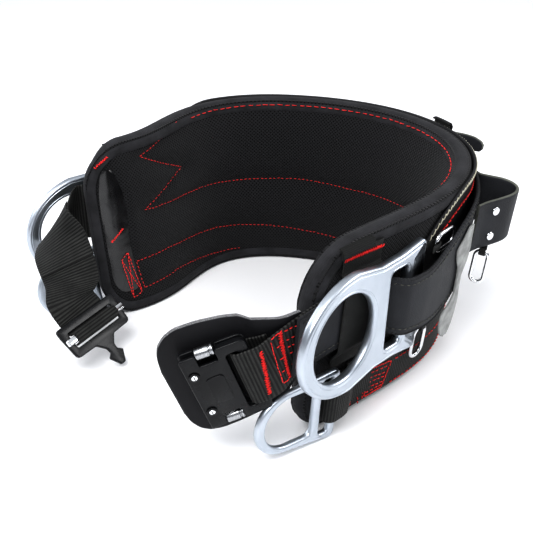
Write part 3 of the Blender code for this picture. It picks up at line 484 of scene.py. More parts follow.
def ribCount(travel, pitch):
    # how many ribs lie before each place, with small faults in their spacing
    knots = np.arange(0, travel[-1] + 8, 8.0)
    return travel / pitch + np.interp(travel, knots, chance.normal(0, 0.1, len(knots)))


def ribbed(count, depth, half):
    # half a strap's thickness, with rounded ribs across it
    return half + (depth * (np.abs(np.sin(np.pi * count)) - 0.65))[:, None] * (half / half.max())


def foldedStrap(name, route, place, low, high, thick, finish, pitch=2.0, depth=0.28, soften=3.0, step=0.4,
                columns=12, edgeFinish=None, edgeColumns=0):
    # route is a line of (distance, offset), and place turns it into points; soften rounds its corners
    travel, line = resampled(smoothed(resampled(route, step)[1], soften / step / 2), step)
    width, middle = high - low, (low + high) / 2
    across, half = stripProfile(width, thick, columns)
    count = ribCount(travel, pitch)
    rise = ribbed(count, depth, half)
    (a, b), (na, nb) = line.T[..., None], turnedLeft(line).T[..., None]
    outer, inner = (place(a + na * lift, b + nb * lift, middle + across) for lift in (rise, -rise))
    piece = shellPiece(name, outer, inner, count * ribUnit, across, finish, False, edgeFinish, edgeColumns)
    if width > 8 and travel[-1] > 12:
        rung = place(*line[len(line) // 2], np.linspace(low, high, 9))
        spine = place(*line.T, middle)
    return piece


# Stitches: each is a short round thread that dips into the cloth at its ends

stitchShape = {"sides": 5, "places": (0.0, 0.1, 0.5, 0.9, 1.0), "girths": (0.2, 0.85, 1.0, 0.85, 0.2),
               "lifts": (-0.9, 0.1, 0.55, 0.1, -0.9)}
tack = {"pitch": 1.0, "girth": 0.42, "sway": 0.15}
seams = {}


def addStitch(seam, first, last, out, girth, sway=0.12):
    seams.setdefault(seam, []).append((*first, *last, *out, girth, sway * chance.normal()))


def stitchLine(seam, path, ways, pitch, length, girth):
    # path and the way off it at each of its points, in millimetres
    travel = travelAlong(path)
    starts = np.arange(pitch * 0.15, travel[-1] - length * 0.6, pitch)
    starts = starts + chance.uniform(-0.08, 0.08, len(starts)) * pitch
    ends = np.minimum(starts + length * chance.uniform(0.9, 1.1, len(starts)), travel[-1])
    for first, last, way in zip(sampled(starts, travel, path), sampled(ends, travel, path),
                                sampled((starts + ends) / 2, travel, ways)):
        addStitch(seam, first, last, way, girth)


def bartack(seam, spotAt, first, last, wide=2.7):
    # close zigzag threads from first to last; spotAt gives a point and its outward way
    first, last = np.array(first, float), np.array(last, float)
    length = np.linalg.norm(last - first)
    ahead = (last - first) / length
    across = np.array((-ahead[1], ahead[0])) * wide / 2
    count = max(3, int(length / tack["pitch"]))
    for k in range(count):
        here = first + (last - first) * (k + chance.uniform(-0.25, 0.25)) / count
        reach = across * (1 if k % 2 else -1) * chance.uniform(0.75, 1.15)
        start, way = spotAt(*(here + reach))
        end = spotAt(*(here - reach + ahead * tack["pitch"]))[0]
        addStitch(seam, start, end, way, tack["girth"], tack["sway"])


def sewSeam(name, finish, slotName="black_webbing"):
    first, last, out, girth, sway = np.split(np.array(seams[name]), (3, 6, 9, 10), axis=1)
    ahead = unit(last - first)
    out = unit(out - ahead * np.sum(out * ahead, axis=1, keepdims=True))
    across = np.cross(ahead, out)
    last = last + across * sway * 2
    rings = []
    sides = stitchShape["sides"]
    for share, thickness, lift in zip(stitchShape["places"], stitchShape["girths"], stitchShape["lifts"]):
        centre = first + (last - first) * share + out * girth * lift
        for k in range(sides):
            turn = 2 * math.pi * k / sides
            rings.append(centre + (out * math.cos(turn) + across * math.sin(turn)) * girth * thickness)
    size = len(rings)
    pattern = []
    for a in range(size - sides):
        b = a - a % sides + (a + 1) % sides
        pattern.append((a, b, b + sides, a + sides))
    pattern += [tuple(range(sides))[::-1], tuple(range(size - sides, size))]
    faces = [tuple(base + k for k in face) for base in range(0, len(first) * size, size) for face in pattern]
    mesh = bpy.data.meshes.new(name)
    mesh.from_pydata(metres(np.stack(rings, axis=1).reshape(-1, 3)).tolist(), [], faces)
    mesh.materials.append(finishes[finish])
    print("seam", name, len(first), "stitches")
    return belongs(newPiece(name, mesh, 60.0), slotName)


# Modelling with Blender's tools

def choose(*pieces):
    # selects these pieces alone, or none, and makes the first active
    if bpy.context.object and bpy.context.object.mode != "OBJECT":
        bpy.ops.object.mode_set(mode="OBJECT")
    bpy.ops.object.select_all(action="DESELECT")
    for piece in pieces:
        piece.select_set(True)
        bpy.context.view_layer.objects.active = pieces[0]


def pickFaces(piece, side):
    # in edit mode, selects the faces that look up, or down where side is -1
    bpy.ops.mesh.select_mode(type="FACE")
    bpy.ops.mesh.select_all(action="DESELECT")
    shape = bmesh.from_edit_mesh(piece.data)
    for face in shape.faces:
        if face.normal.z * side > 0.9:
            face.select = True
    shape.select_flush_mode()
    bmesh.update_edit_mesh(piece.data)


def arcPoints(centre, halfX, halfY, start, end, steps):
    turns = np.radians(np.linspace(start, end, steps + 1))
    return [(centre + halfX * math.cos(a), halfY * math.sin(a)) for a in turns]


def rounded(corners, steps=5):
    # rounds each corner (x, y, radius) of a closed outline
    loop = []
    count = len(corners)
    for i, (x, y, radius) in enumerate(corners):
        here = Vector((x, y))
        before = Vector(corners[i - 1][:2]) - here
        after = Vector(corners[(i + 1) % count][:2]) - here
        half = before.angle(after) / 2
        reach = min(radius / math.tan(half), before.length * 0.45, after.length * 0.45)
        if reach < 0.05:
            loop.append((x, y))
            continue
        start = here + before.normalized() * reach
        end = here + after.normalized() * reach
        for k in range(steps + 1):
            t = k / steps
            spot = start * (1 - t) ** 2 + here * 2 * t * (1 - t) + end * t ** 2
            loop.append((spot.x, spot.y))
    return loop


def boxLoop(x0, x1, y0, y1, radius, steps=5):
    return rounded(((x0, y0, radius), (x1, y0, radius), (x1, y1, radius), (x0, y1, radius)), steps)


def slotLoop(near, far, half, radius):
    return boxLoop(near, far, -half, half, radius)


def circleLoop(x, y, radius, steps=24):
    return [(x + radius * math.cos(a), y + radius * math.sin(a))
            for a in np.linspace(0, 2 * math.pi, steps, endpoint=False)]


def withoutDoubles(loop, least=0.04):
    kept = []
    for spot in loop:
        if not kept or (Vector(spot) - Vector(kept[-1])).length > least:
            kept.append(spot)
    if (Vector(kept[0]) - Vector(kept[-1])).length <= least:
        kept.pop()
    return kept


def roundRim(radius, steps=3):
    # insets and lifts that round an edge over a quarter turn
    turns = [math.pi / 2 * k / steps for k in range(steps + 1)]
    return [(radius * (math.cos(a) - math.cos(b)), radius * (math.sin(b) - math.sin(a)))
            for a, b in zip(turns, turns[1:])]


def joinPieces(name, pieces):
    choose(*pieces)
    if len(pieces) > 1:
        bpy.ops.object.join()
    pieces[0].name = pieces[0].data.name = name
    return pieces[0]


def plateSolid(name, loops, thick, radius, finish, level=0.0, faceSteps=(), backSteps=()):
    # a flat plate from outline and hole loops, its edges rounded by insets
    rings = []
    for loop in map(withoutDoubles, loops):
        choose()
        bpy.ops.mesh.primitive_circle_add(vertices=len(loop), radius=10)
        rings.append(bpy.context.object)
        for vertex, spot in zip(rings[-1].data.vertices, loop):
            vertex.co = (*spot, level - thick / 2 + radius)
    piece = joinPieces(name, rings)
    bpy.ops.object.mode_set(mode="EDIT")
    bpy.ops.mesh.select_all(action="SELECT")
    bpy.ops.mesh.fill(use_beauty=True)
    bpy.ops.mesh.dissolve_limited(angle_limit=math.radians(0.5))
    bpy.ops.mesh.extrude_region_move(TRANSFORM_OT_translate={"value": (0, 0, thick - 2 * radius)})
    bpy.ops.mesh.select_all(action="SELECT")
    bpy.ops.mesh.normals_make_consistent(inside=False)
    for side, extra in ((1, faceSteps), (-1, backSteps)):
        pickFaces(piece, side)
        for inset, lift in [*roundRim(radius), *extra]:
            bpy.ops.mesh.inset(thickness=inset, use_boundary=True)
            bpy.ops.transform.translate(value=(0, 0, lift * side))
    bpy.ops.object.mode_set(mode="OBJECT")
    piece.data.materials.clear()
    piece.data.materials.append(finishes[finish])
    return piece


def settle(piece, placing, slotName, *nodes, body="belt", angle=35.0):
    # puts a finished piece in its place, in metres, with its object at the origin
    piece.data.transform(toMetres @ placing)
    choose(piece)
    bpy.ops.object.shade_smooth_by_angle(angle=math.radians(angle))
    choose()
    return belongs(piece, slotName, *nodes, body=body)


# Pad: spacer mesh over a foam core, quilted on its inner face

padLook = {"step": 2.5, "rows": 60, "puff": 4.0, "puffReach": 12.0, "groove": 1.9, "grooveReach": 3.2,
           "edgeReach": 16.0, "wrinkle": 0.35, "wrinkleReach": 6.0, "fade": 5.0, "threadLift": 0.15}
padSeams = {
    "zigzag": ((457, 143), (464, 140), (511, 128), (457, 103), (513, 83)),
    "upper": ((513, 83), (459, 78), (410, 75), (384, 74), (351, 75), (305, 72), (281.5, 72.5)),
    "lower": ((528, 42), (490, 42), (422, 34), (394, 31), (349, 27), (301, 23), (281.5, 22.5)),
    "foot": ((523, 17), (481, 19), (425, 11), (404, 10)),
    "link": ((528, 42), (523, 17))}


def fromEnds(s):
    return np.minimum(s - padSize["right"], padSize["left"] - s)


def padEdges(s):
    share = np.sin(np.pi * np.clip(s / padSize["left"], 0.0, 1.0))
    full = padSize["endHeight"] + (padSize["backHeight"] - padSize["endHeight"]) * share

    def drop(radius):
        short = np.clip(radius - fromEnds(s), 0.0, radius)
        return radius - np.sqrt(radius ** 2 - short ** 2)

    return drop(padSize["lowRadius"]), full - drop(padSize["topRadius"])


def padSpot(s, z):
    share = np.maximum(0.0, 1.0 - fromEnds(s) / padSize["topRadius"])
    slide = padSize["slant"] * share * (z / padSize["backHeight"] - 0.5)
    return s + np.where(s > padSize["left"] / 2, slide, -slide), z


def seamDistance(s, z, lines):
    least = np.full(s.shape, 1e3)
    for line in lines:
        for (s0, z0), (s1, z1) in zip(line, line[1:]):
            ds, dz = s1 - s0, z1 - z0
            t = np.clip(((s - s0) * ds + (z - z0) * dz) / (ds * ds + dz * dz), 0, 1)
            least = np.minimum(least, np.hypot(s - s0 - t * ds, z - z0 - t * dz))
    return least


def bothSides(line):
    return [line, tuple((mirrored(s), z) for s, z in line)]


padLines = [half for line in padSeams.values() for half in bothSides(line)]
patchRows = np.array(((0, 20, 36), (18, 17.5, 35.0), (30, 12.4, 33.5), (66, 9.4, 30.0), (86, 7.4, 31.0),
                      (104, 6.8, 29.0), (118, 9.0, 23.5), (150, 12, 16)))


def padRelief(s, z, rimDistance):
    distance = seamDistance(s, z, padLines)

    def near(reach):
        return np.exp(-(distance / padLook[reach]) ** 2)

    edge = 1 - np.exp(-(np.maximum(rimDistance, 0) / padLook["edgeReach"]) ** 2)
    puff = padLook["puff"] * (1 - near("puffReach")) * edge
    groove = padLook["groove"] * near("grooveReach") * edge
    wrinkle = padLook["wrinkle"] * np.sin(s * 0.9 + 0.3 * z) * near("wrinkleReach") * edge
    inward = np.minimum(s, mirrored(s)) - readRows(patchRows, z)[1]
    return (groove - puff + wrinkle) * np.clip(inward / padLook["fade"], 0.0, 1.0)


def makePad():
    stops = np.arange(padSize["right"] + 0.6, padSize["left"] - 0.3, padLook["step"])
    low, high = (edge[:, None] for edge in padEdges(stops))
    z = low + (high - low) * np.linspace(0, 1, padLook["rows"])
    s = np.repeat(stops[:, None], padLook["rows"], axis=1)
    rim = np.minimum(fromEnds(s), np.minimum(z - low, high - z))
    s, z = padSpot(s, z)
    piece = shellPiece("padBody", onBelt(s, z, padSize["thick"]), onBelt(s, z, padRelief(s, z, rim)), s, z,
                       "spacer")
    belongs(piece, "black_spacer_mesh", "back_pad")
    return piece


pad = makePad()
padTree = BVHTree.FromObject(pad, bpy.context.evaluated_depsgraph_get())
print("pad made")


def onPadFace(s, z):
    # the places on the pad's inner face behind (s, z), and the ways off it
    spots, ways = [], []
    for sk, zk in zip(s, z):
        start, goal, plain = (Vector(metres(onBelt(sk, zk, o))) for o in (-14.0, 6.0, 0.0))
        ray = (goal - start).normalized()
        hit = padTree.ray_cast(start, ray, 0.03)[0]
        if hit is None:
            hit = plain
        spots.append(np.array(hit) * 1000 - shift - np.array(ray) * padLook["threadLift"])
        ways.append(-np.array(ray))
    return np.array(spots), np.array(ways)


padBox = (((536, 53), (542, 47), (535, 12), (527, 16), (536, 53)),
          ((536, 53), (535, 12)), ((542, 47), (527, 16)))
patchTacks = (((557.5, 126.5), (544.5, 134.5)), ((549, 64), (537.5, 74.5)))
topSeam = {"span": (118, 445), "drop": 3.4, "lift": -2.05}


def makePadSeams():
    for line in padLines:
        stitchLine("padThread", *onPadFace(*resampled(line, 1.5)[1].T), 3.8, 2.5, 0.32)
    for corners in padBox:
        for half in bothSides(corners):
            stitchLine("padThread", *offBelt(*resampled(half, 1.5)[1].T, -1.75, -1.0), 3.0, 2.3, 0.36)
    for first, last in patchTacks:
        bartack("padThread", lambda s, z: offBelt(s, z, -1.95, -1.0), first, last, 2.0)
    s = np.linspace(*topSeam["span"], 90)
    edge = offBelt(s, padEdges(s)[1] - topSeam["drop"], topSeam["lift"], -1.0)
    stitchLine("padThread", *edge, 6.4, 4.6, 0.42)
    sewSeam("padThread", "red")


# Binding round the pad's edge

bindingLook = {"cover": 8.6, "centre": 6.2, "thick": 1.0, "step": 1.0, "stand": 1.5, "sway": 0.5}


def padRim():
    turns = np.linspace(0, math.pi / 2, 26)
    depths = padSize["topRadius"] * (1 - np.cos(turns))
    right = padSize["right"] + depths
    left = padSize["left"] - depths[::-1]
    middle = np.arange(right[-1] + 3, left[0] - 1, 3.0)
    stops = np.concatenate([right, middle, left])
    low, high = padEdges(stops)
    lowEdge = np.stack(padSpot(stops, low), axis=-1)
    highEdge = np.stack(padSpot(stops, high), axis=-1)
    return np.concatenate([lowEdge, highEdge[::-1]])


def makeBinding():
    rim = padRim()
    line = resampled(np.concatenate([rim, rim[:1]]), bindingLook["step"])[1][:-1]
    line = smoothed(np.concatenate([line[-12:], line, line[:12]]), 5)[12:-12]
    ahead = unit(np.roll(line, -1, axis=0) - np.roll(line, 1, axis=0))
    inward = np.stack([-ahead[:, 1], ahead[:, 0]], axis=-1)
    centre, cover, stand = (bindingLook[key] for key in ("centre", "cover", "stand"))
    core = padSize["thick"] / 2
    arc = [(centre - (centre + stand) * math.cos(a), core + (core + stand) * math.sin(a))
           for a in np.radians(np.linspace(-90, 90, 17))]
    head = [(cover, -0.95), (cover - 0.5, -1.3), (cover - 1.6, -1.42)]
    profile = np.array(head + arc + [(depth, padSize["thick"] - o) for depth, o in reversed(head)])
    inside = profile - turnedLeft(profile) * bindingLook["thick"]
    wobble = smoothed(chance.normal(0, 1, len(line) + 40), 9)[20:-20, None] * bindingLook["sway"]
    grids = []
    for shape in (profile, inside):
        s, z = (line[:, k, None] + inward[:, k, None] * shape[:, 0] for k in (0, 1))
        grids.append(onBelt(s, z, core + (shape[:, 1] - core) * (1 + 0.02 * wobble)))
    stretch = travelAlong(profile)
    along = np.arange(len(line)) * bindingLook["step"]
    piece = shellPiece("padBinding", *grids, along, stretch, "tape", loop=True)
    belongs(piece, "grey_binding_tape", "pad_binding")


# Vinyl patches inside the pad's ends

patchLook = {"span": (18.6, 123.4), "rows": 84, "columns": 24, "thick": 1.0, "offset": -0.75, "taper": 9.0,
             "crown": ((18.6, 0.3), (52, 0.3), (70, 1.5), (118, 1.3))}


def makePatches():
    z = np.linspace(*patchLook["span"], patchLook["rows"])
    near, far = readRows(patchRows, z, 6)
    tip = np.clip(np.minimum(z - z[0], z[-1] - z) / patchLook["taper"], 0.0, 1.0)
    half = (far - near) / 2 * (0.55 + 0.45 * np.sqrt(1 - (1 - tip) ** 2))
    across = np.linspace(-1, 1, patchLook["columns"])
    s = ((far + near) / 2)[:, None] + half[:, None] * across
    rows = z[:, None]
    o = patchLook["offset"] - readRows(patchLook["crown"], rows)[0] * (1 - across ** 2)
    for side, turned in (("Right", s), ("Left", mirrored(s))):
        piece = shellPiece("endPatch" + side, onBelt(turned, rows, o),
                           onBelt(turned, rows, o + patchLook["thick"]), z,
                           np.linspace(0, 22, len(across)), "vinyl")
        belongs(piece, "black_vinyl", "end_patch_" + side.lower())


# Bands and straps round the outside

def beltBand(name, stops, low, high, inner, thick, finish, depth=0.0, columns=12):
    # a band along the belt; low, high and inner may change along it
    low, high, inner = (np.broadcast_to(np.asarray(v, float), stops.shape) for v in (low, high, inner))
    width = high - low
    across, half = stripProfile(float(width.mean()), thick, columns)
    z = between(low, high, across / width.mean())
    count = ribCount(stops - stops[0], ribUnit)
    rise = ribbed(count, depth, half)
    s, centre = stops[:, None], inner[:, None] + thick / 2
    piece = shellPiece(name, onBelt(s, z, centre + rise), onBelt(s, z, centre - rise),
                       count * ribUnit, across, finish)
    middle = onBelt(stops, (low + high) / 2, inner)
    return piece


bandLook = {"end": 101.0, "inner": 13.9, "thick": 2.0, "stitchDrops": (3.4, 0.4), "seam": (114, 449),
            "seamDrop": 13.5,
            "shape": ((0.0, 62.0, 116.0), (6.0, 53.0, 124.0), (12.0, 50.0, 131.0), (21.0, 50.0, 137.0),
                      (31.0, 50.0, 143.0), (42.0, 50.0, 146.5))}


def makeOuterBand():
    first, last = bandLook["end"], mirrored(bandLook["end"])
    stops = np.arange(first, last + 0.1, 1.0)
    low, high = readRows(bandLook["shape"], np.minimum(stops - first, last - stops))
    low, high = smoothed(low, 6), smoothed(high, 8)
    band = beltBand("outerBand", stops, low, high, bandLook["inner"], bandLook["thick"], "shell", columns=26)
    belongs(band, "coated_shell", "outer_band")
    face = bandLook["inner"] + bandLook["thick"]
    s = np.arange(first + 4, last - 4, 1.5)
    drops = np.resize(bandLook["stitchDrops"], len(s))
    spots, ways = offBelt(s, np.interp(s, stops, high) - drops, face + 0.25)
    for start, end, way in zip(spots, spots[1:], ways):
        addStitch("edgeThread", start, end, way, 0.36, 0.1)
    sewSeam("edgeThread", "cream", "coated_shell")
    s = np.arange(*bandLook["seam"], 1.0)
    seam = offBelt(s, np.interp(s, stops, high) - bandLook["seamDrop"], face + 0.2)
    stitchLine("bandThread", *seam, 4.4, 3.9, 0.5)
    sewSeam("bandThread", "red", "coated_shell")


lowerStrap = {"span": (38.5, 525.5), "low": 4.0, "high": 47.0, "inner": 13.9, "thick": 2.0}


lowerSeams = {
    "dashes": (((88, 6), (146, 6)), ((90, 27), (146, 27)), ((65, 26.5), (84, 24)), ((64, 22.5), (82, 19)),
               ((63.5, 18.5), (83, 15.5)), ((62.5, 14), (81, 11.5)), ((62, 10), (80, 8.6)),
               ((50, 29.5), (56, 3.5)), ((58.5, 28), (60, 5))),
    "thick": (((64, 30.5), (87, 27.5)), ((87, 27.5), (80, 6.5)), ((80, 6.5), (61.5, 6.5)),
              ((61.5, 6.5), (64, 30.5)), ((45.5, 29), (47, 5)))}


def lowerStitches(pairs, pitch, length, girth):
    face = lowerStrap["inner"] + lowerStrap["thick"] + 0.25
    stitchLine("lowerThread", *offBelt(*resampled(pairs, 1.0)[1].T, face), pitch, length, girth)


def makeLowerStrap():
    first, last = lowerStrap["span"]
    strap = beltBand("lowerStrap", np.arange(first, last + 0.1, 0.5), lowerStrap["low"], lowerStrap["high"],
                     lowerStrap["inner"], lowerStrap["thick"], "web", depth=0.28)
    belongs(strap, "black_webbing", "lower_strap")
    for side in (0, 1):
        for pairs in lowerSeams["dashes"]:
            lowerStitches(bothSides(pairs)[side], 4.8, 3.1, 0.42)
        for pairs in lowerSeams["thick"]:
            lowerStitches(bothSides(pairs)[side], 2.5, 2.3, 0.5)
    for z in (6, 27):
        lowerStitches(((146, z), (mirrored(146), z)), 5.2, 3.6, 0.4)
    sewSeam("lowerThread", "red")


strapLook = {"thick": 2.6, "step": 1.0, "soften": 5, "path": (
    (-22, 90, 44, 15.9), (0, 91, 44, 15.9), (20, 91.5, 44, 15.9), (40, 91, 44, 15.9),
    (57, 89.5, 44, 16.1), (62, 88.5, 44, 20.0), (67, 87.5, 45, 26.8), (71.5, 86.8, 45, 30.0),
    (80, 86, 46, 30.2), (90, 85, 47.5, 29.4), (100, 84.5, 52, 27.4), (112, 87, 58, 25.4), (125, 93, 61, 24.0),
    (138, 101, 61, 23.4), (150, 104, 60, 21.6), (165, 104.5, 60, 18.6), (180, 105, 60, 16.4),
    (280, 105, 60, 16.4), (384, 105, 60, 16.4), (400, 104.5, 60, 16.6), (414, 104, 60, 17.4),
    (428, 101, 60, 19.5), (440, 97, 58, 22.5), (452, 93, 54, 26.0), (464, 91.5, 49, 28.5),
    (476, 88, 46, 29.8), (488, 84, 45, 30.0), (500, 82, 45, 27.5), (510, 81.5, 45, 21.5),
    (520, 83.5, 45, 17.6), (530, 84, 45, 16.2), (545, 84.5, 45, 15.9), (560, 84.5, 45, 15.9))}


strapStops = np.arange(strapLook["path"][0][0], strapLook["path"][-1][0] + 0.1, strapLook["step"])
strapLine = readRows(strapLook["path"], strapStops, strapLook["soften"])


def onStrap(s, fromEdge, lift, side):
    # places on the leather strap's outer face, in from its upper edge or, where side is -1, its lower one
    middle, width, inner = (np.interp(s, strapStops, values) for values in strapLine)
    return offBelt(s, middle + side * (width / 2 - fromEdge), inner + strapLook["thick"] + lift)


def makeLeatherStrap():
    middle, width, inner = strapLine
    strap = beltBand("leatherStrap", strapStops, middle - width / 2, middle + width / 2, inner,
                     strapLook["thick"], "leather", columns=16)
    belongs(strap, "charcoal_leather", "leather_strap")
    first, last = strapStops[0] + 2, strapStops[-1] - 2
    s = np.arange(first, last, 1.0)
    for side in (1, -1):
        # the dark stitches between the pale ones are painted shade in the stitch holes
        stitchLine("strapHoleShade", *onStrap(s, 4.8, 0.12, side), 4.4, 2.0, 0.32)
        stitchLine("strapPale", *onStrap(s + 2.2, 4.8, 0.12, side), 4.4, 2.2, 0.32)
    run = np.arange(first, last, 1.9)
    for side in (1, -1):
        edge, out = onStrap(run, 0.1, -0.2, side)
        inside = onStrap(run + 0.9, 1.9, 0.15, side)[0]
        back = onStrap(run + 0.2, 0.1, 0.2 - strapLook["thick"], side)[0]
        for k in range(len(run)):
            addStitch("overlockThread", edge[k], inside[k], out[k], 0.36, 0.08)
            addStitch("overlockThread", edge[k], back[k], (0.0, 0.0, side), 0.36, 0.08)
    for name, finish in (("strapHoleShade", "dark"), ("strapPale", "olive"), ("overlockThread", "dark")):
        sewSeam(name, finish, "charcoal_leather")


# Keepers: ribbed tape folded over the strap, route as height and offset

keeperThick = 1.5
keepers = {
    "keeperRight": {"node": "keeper_right", "span": (20.0, 57.0),
                    "path": ((139, 14.0), (124, 14.0), (117, 19.1), (66, 19.1), (59, 14.0), (50.5, 14.0))},
    "keeperLeft": {"node": "keeper_left", "span": (526.0, 545.0),
                   "path": ((139, 14.0), (117, 14.0), (109.5, 19.8), (61, 19.8), (57, 16.2), (52, 14.0))},
    "keeperBack": {"node": "keeper_back", "span": (234.0, 249.0),
                   "path": ((148.7, 16.3), (140, 16.3), (136.5, 19.3), (73.5, 19.3), (70, 16.3), (62, 16.3))}}
keeperRibs = {"pitch": 1.1, "depth": 0.16, "step": 0.25}
keeperLips = (("keeperLipRight", (16.0, 48.0), ((136.9, 16.4), (140.0, 16.1), (142.2, 14.6), (143.4, 12.4))),
              ("keeperLipBack", (233.5, 249.5), ((141.0, 18.6), (146.5, 19.4), (149.2, 18.0), (149.0, 15.0))))
keeperTacks = (((19.5, 135.0), (56.5, 133.8), 2.8), ((527.0, 137.0), (544.0, 137.0), 2.6))


def makeKeepers():
    for name, look in keepers.items():
        route = [(z, o + keeperThick / 2) for z, o in look["path"]]
        keeper = foldedStrap(name, route, acrossBelt, *look["span"], keeperThick, "web",
                             soften=4.0, **keeperRibs)
        belongs(keeper, "black_webbing", look["node"])
    for name, span, route in keeperLips:
        lip = foldedStrap(name, route, acrossBelt, *span, 1.4, "webDark", soften=2.0, **keeperRibs)
        belongs(lip, "black_webbing")
    for tackLine in keeperTacks:
        bartack("keeperThread", lambda s, z: offBelt(s, z, 14.0 + keeperThick + 0.45), *tackLine)
    sewSeam("keeperThread", "red")


# Rings

sideRing = {"thick": 6.6, "edge": 2.0, "nose": (-11.5, 51.5, 43.0), "hole": (-21.0, 30.5, 30.5),
            "waist": ((14.0, 38.0, 14.0), (36.0, 38.5, 20.0), (62.0, 42.5, 5.0), (62.0, 32.0, 3.0),
                      (53.0, 27.5, 5.0)),
            "slot": (24.0, 42.0, 29.0, 4.0),
            "right": {"place": (30.5, 88.2, 28.7), "heading": 88.0, "roll": -1.5, "upright": -4.5,
                      "back": 1.0, "slide": 0.0},
            "left": {"place": (525.3, 75.8, 33.9), "heading": 253.0, "roll": 12.8, "upright": 5.2,
                     "back": -1.0, "slide": -16.5}}
rimLine = ((0.35, 0.0), (0.25, -0.22), (0.3, 0.0), (0.25, 0.22))


def ringFrame(look, heading, slide):
    return (beltFrame(*look["place"], heading, look["roll"], look["back"])
            @ Matrix.Rotation(math.radians(look["upright"]), 4, "X") @ Matrix.Translation((slide, 0, 0)))


def makeSideRings():
    nose = arcPoints(*sideRing["nose"], 90, 270, 56)
    lower = rounded([(*nose[-1], 0.0)] + [(x, -y, r) for x, y, r in sideRing["waist"]], 6)[1:]
    upper = [(x, -y) for x, y in reversed(lower)]
    hole = arcPoints(*sideRing["hole"], 0, 360, 72)[:-1]
    for side in ("right", "left"):
        look = sideRing[side]
        ring = plateSolid("sideRing" + side.title(),
                          [nose + lower + upper, hole, slotLoop(*sideRing["slot"])],
                          sideRing["thick"], sideRing["edge"], "aluminium",
                          faceSteps=rimLine, backSteps=rimLine)
        settle(ring, ringFrame(look, math.radians(look["heading"]), look["slide"]), "satin_aluminium",
               "side_ring_" + side)

lowerRing = {"thick": 5.2, "edge": 2.0, "nose": (-3.0, 25.4, 24.5), "corner": (38.0, 28.5, 6.0),
             "hole": (-2.0, 19.5, 19.5), "bar": 17.5, "slot": (24.0, 32.0, 22.5, 2.5), "pivot": 35.0,
             "right": {"place": (19.0, 27.4, 21.6), "swing": -8.5, "roll": -2.0, "upright": -2.5,
                       "back": 1.0},
             "left": {"place": (551.5, 27.4, 21.4), "swing": 17.0, "roll": 5.0, "upright": 0.0, "back": -1.0}}


def bowedLoop(bow, x, y, radius):
    front = arcPoints(*bow, 90, 270, 40)
    corners = rounded(((*front[-1], 0), (x, -y, radius), (x, y, radius), (*front[0], 0)), 6)
    return front + corners[1:-1]


def makeLowerRings():
    radius = lowerRing["corner"][2]
    loops = [bowedLoop(lowerRing["nose"], *lowerRing["corner"]),
             bowedLoop(lowerRing["hole"], lowerRing["bar"], lowerRing["hole"][2], radius),
             slotLoop(*lowerRing["slot"])]
    for side in ("right", "left"):
        look = lowerRing[side]
        heading = float(lineAt(look["place"][0])[2]) + math.radians(look["swing"])
        ring = plateSolid("lowerRing" + side.title(), loops, lowerRing["thick"], lowerRing["edge"],
                          "aluminium")
        settle(ring, ringFrame(look, heading, -lowerRing["pivot"]), "polished_steel", "lower_ring_" + side)


ringLoop = {"thick": 1.5, "heights": (12.8, 42.5), "inner": 15.0, "outerRight": 26.4, "outerLeft": 26.6,
            "turnRight": 18.8, "turnLeft": 11.2, "stretch": 1.5, "start": 37.0,
            "tail": ((45.0, 17.4), (50.0, 17.0), (64.0, 17.0))}


def halfTurn(a, b, radius, steps=16, direction=-1.0):
    turns = [math.pi * k / steps for k in range(steps + 1)]
    return [(a + direction * radius * math.sin(t), b - radius * math.cos(t)) for t in turns]


def leftLoopPoint(s, o, z):
    turn = ringLoop["turnLeft"]
    s = np.where(s < turn, turn + (s - turn) * ringLoop["stretch"], s)
    return onBelt(mirrored(s), z, o)


def makeRingLoops():
    for side, place in (("Right", alongBelt), ("Left", leftLoopPoint)):
        inner, outer, turn = ringLoop["inner"], ringLoop["outer" + side], ringLoop["turn" + side]
        middle = (inner + outer) / 2
        route = [(ringLoop["start"], inner), (turn + 3, inner), *halfTurn(turn, middle, outer - middle),
                 (turn + 7.0, outer), (turn + 13.0, outer - 1.0), *ringLoop["tail"]]
        loop = foldedStrap("ringLoop" + side, route, place, *ringLoop["heights"], ringLoop["thick"], "web",
                           soften=2.5)
        belongs(loop, "black_webbing", "lower_ring_loop_" + side.lower())


# Front webbing, buckle and backing sheet on the right

frontLook = {"start": 16.0, "z": 91.0, "o": 14.75,
             "path": ((0, 0, 0, 6), (10, 0, -1, 6), (28, -4, -12, 6), (38, -11, -19, 6.5),
                      (50, -26, -24, 7.5), (60, -39, -19, 9), (130, -39, -19, 9))}


def frontPath():
    # frames every millimetre along the webbing: distance, turn, slope and lean
    spot = Vector(onBelt(frontLook["start"], frontLook["z"], frontLook["o"]))
    frames = []
    for t in range(int(frontLook["path"][-1][0]) + 1):
        turn, slope, lean = (math.radians(float(value)) for value in readRows(frontLook["path"], t))
        heading = float(lineAt(frontLook["start"] - t)[2]) + math.pi + turn
        ahead = Vector((math.cos(heading) * math.cos(slope), math.sin(heading) * math.cos(slope),
                        math.sin(slope)))
        outward = Vector((-math.sin(heading), math.cos(heading), 0.0))
        up = Vector((0.0, 0.0, math.cos(lean))) + outward * math.sin(lean)
        frames.append(frameOf(spot, -ahead, up - ahead * up.dot(ahead)))
        spot = spot + ahead
    return frames


frontFrames = frontPath()
frontSpots = np.array([f.translation for f in frontFrames])
frontUps = np.array([f.col[1].to_3d() for f in frontFrames])
frontOuts = np.array([f.col[2].to_3d() for f in frontFrames])


def onFront(t, w, v):
    # t along the front webbing, w outwards and v up from its middle
    t, w, v = np.broadcast_arrays(np.asarray(t, float), np.asarray(w, float), np.asarray(v, float))
    whole = np.clip(t.astype(int), 0, len(frontFrames) - 2)
    share = (t - whole)[..., None]
    spots = []
    for index in (whole, whole + 1):
        spots.append(frontSpots[index] + frontUps[index] * v[..., None] + frontOuts[index] * w[..., None])
    return spots[0] * (1 - share) + spots[1] * share


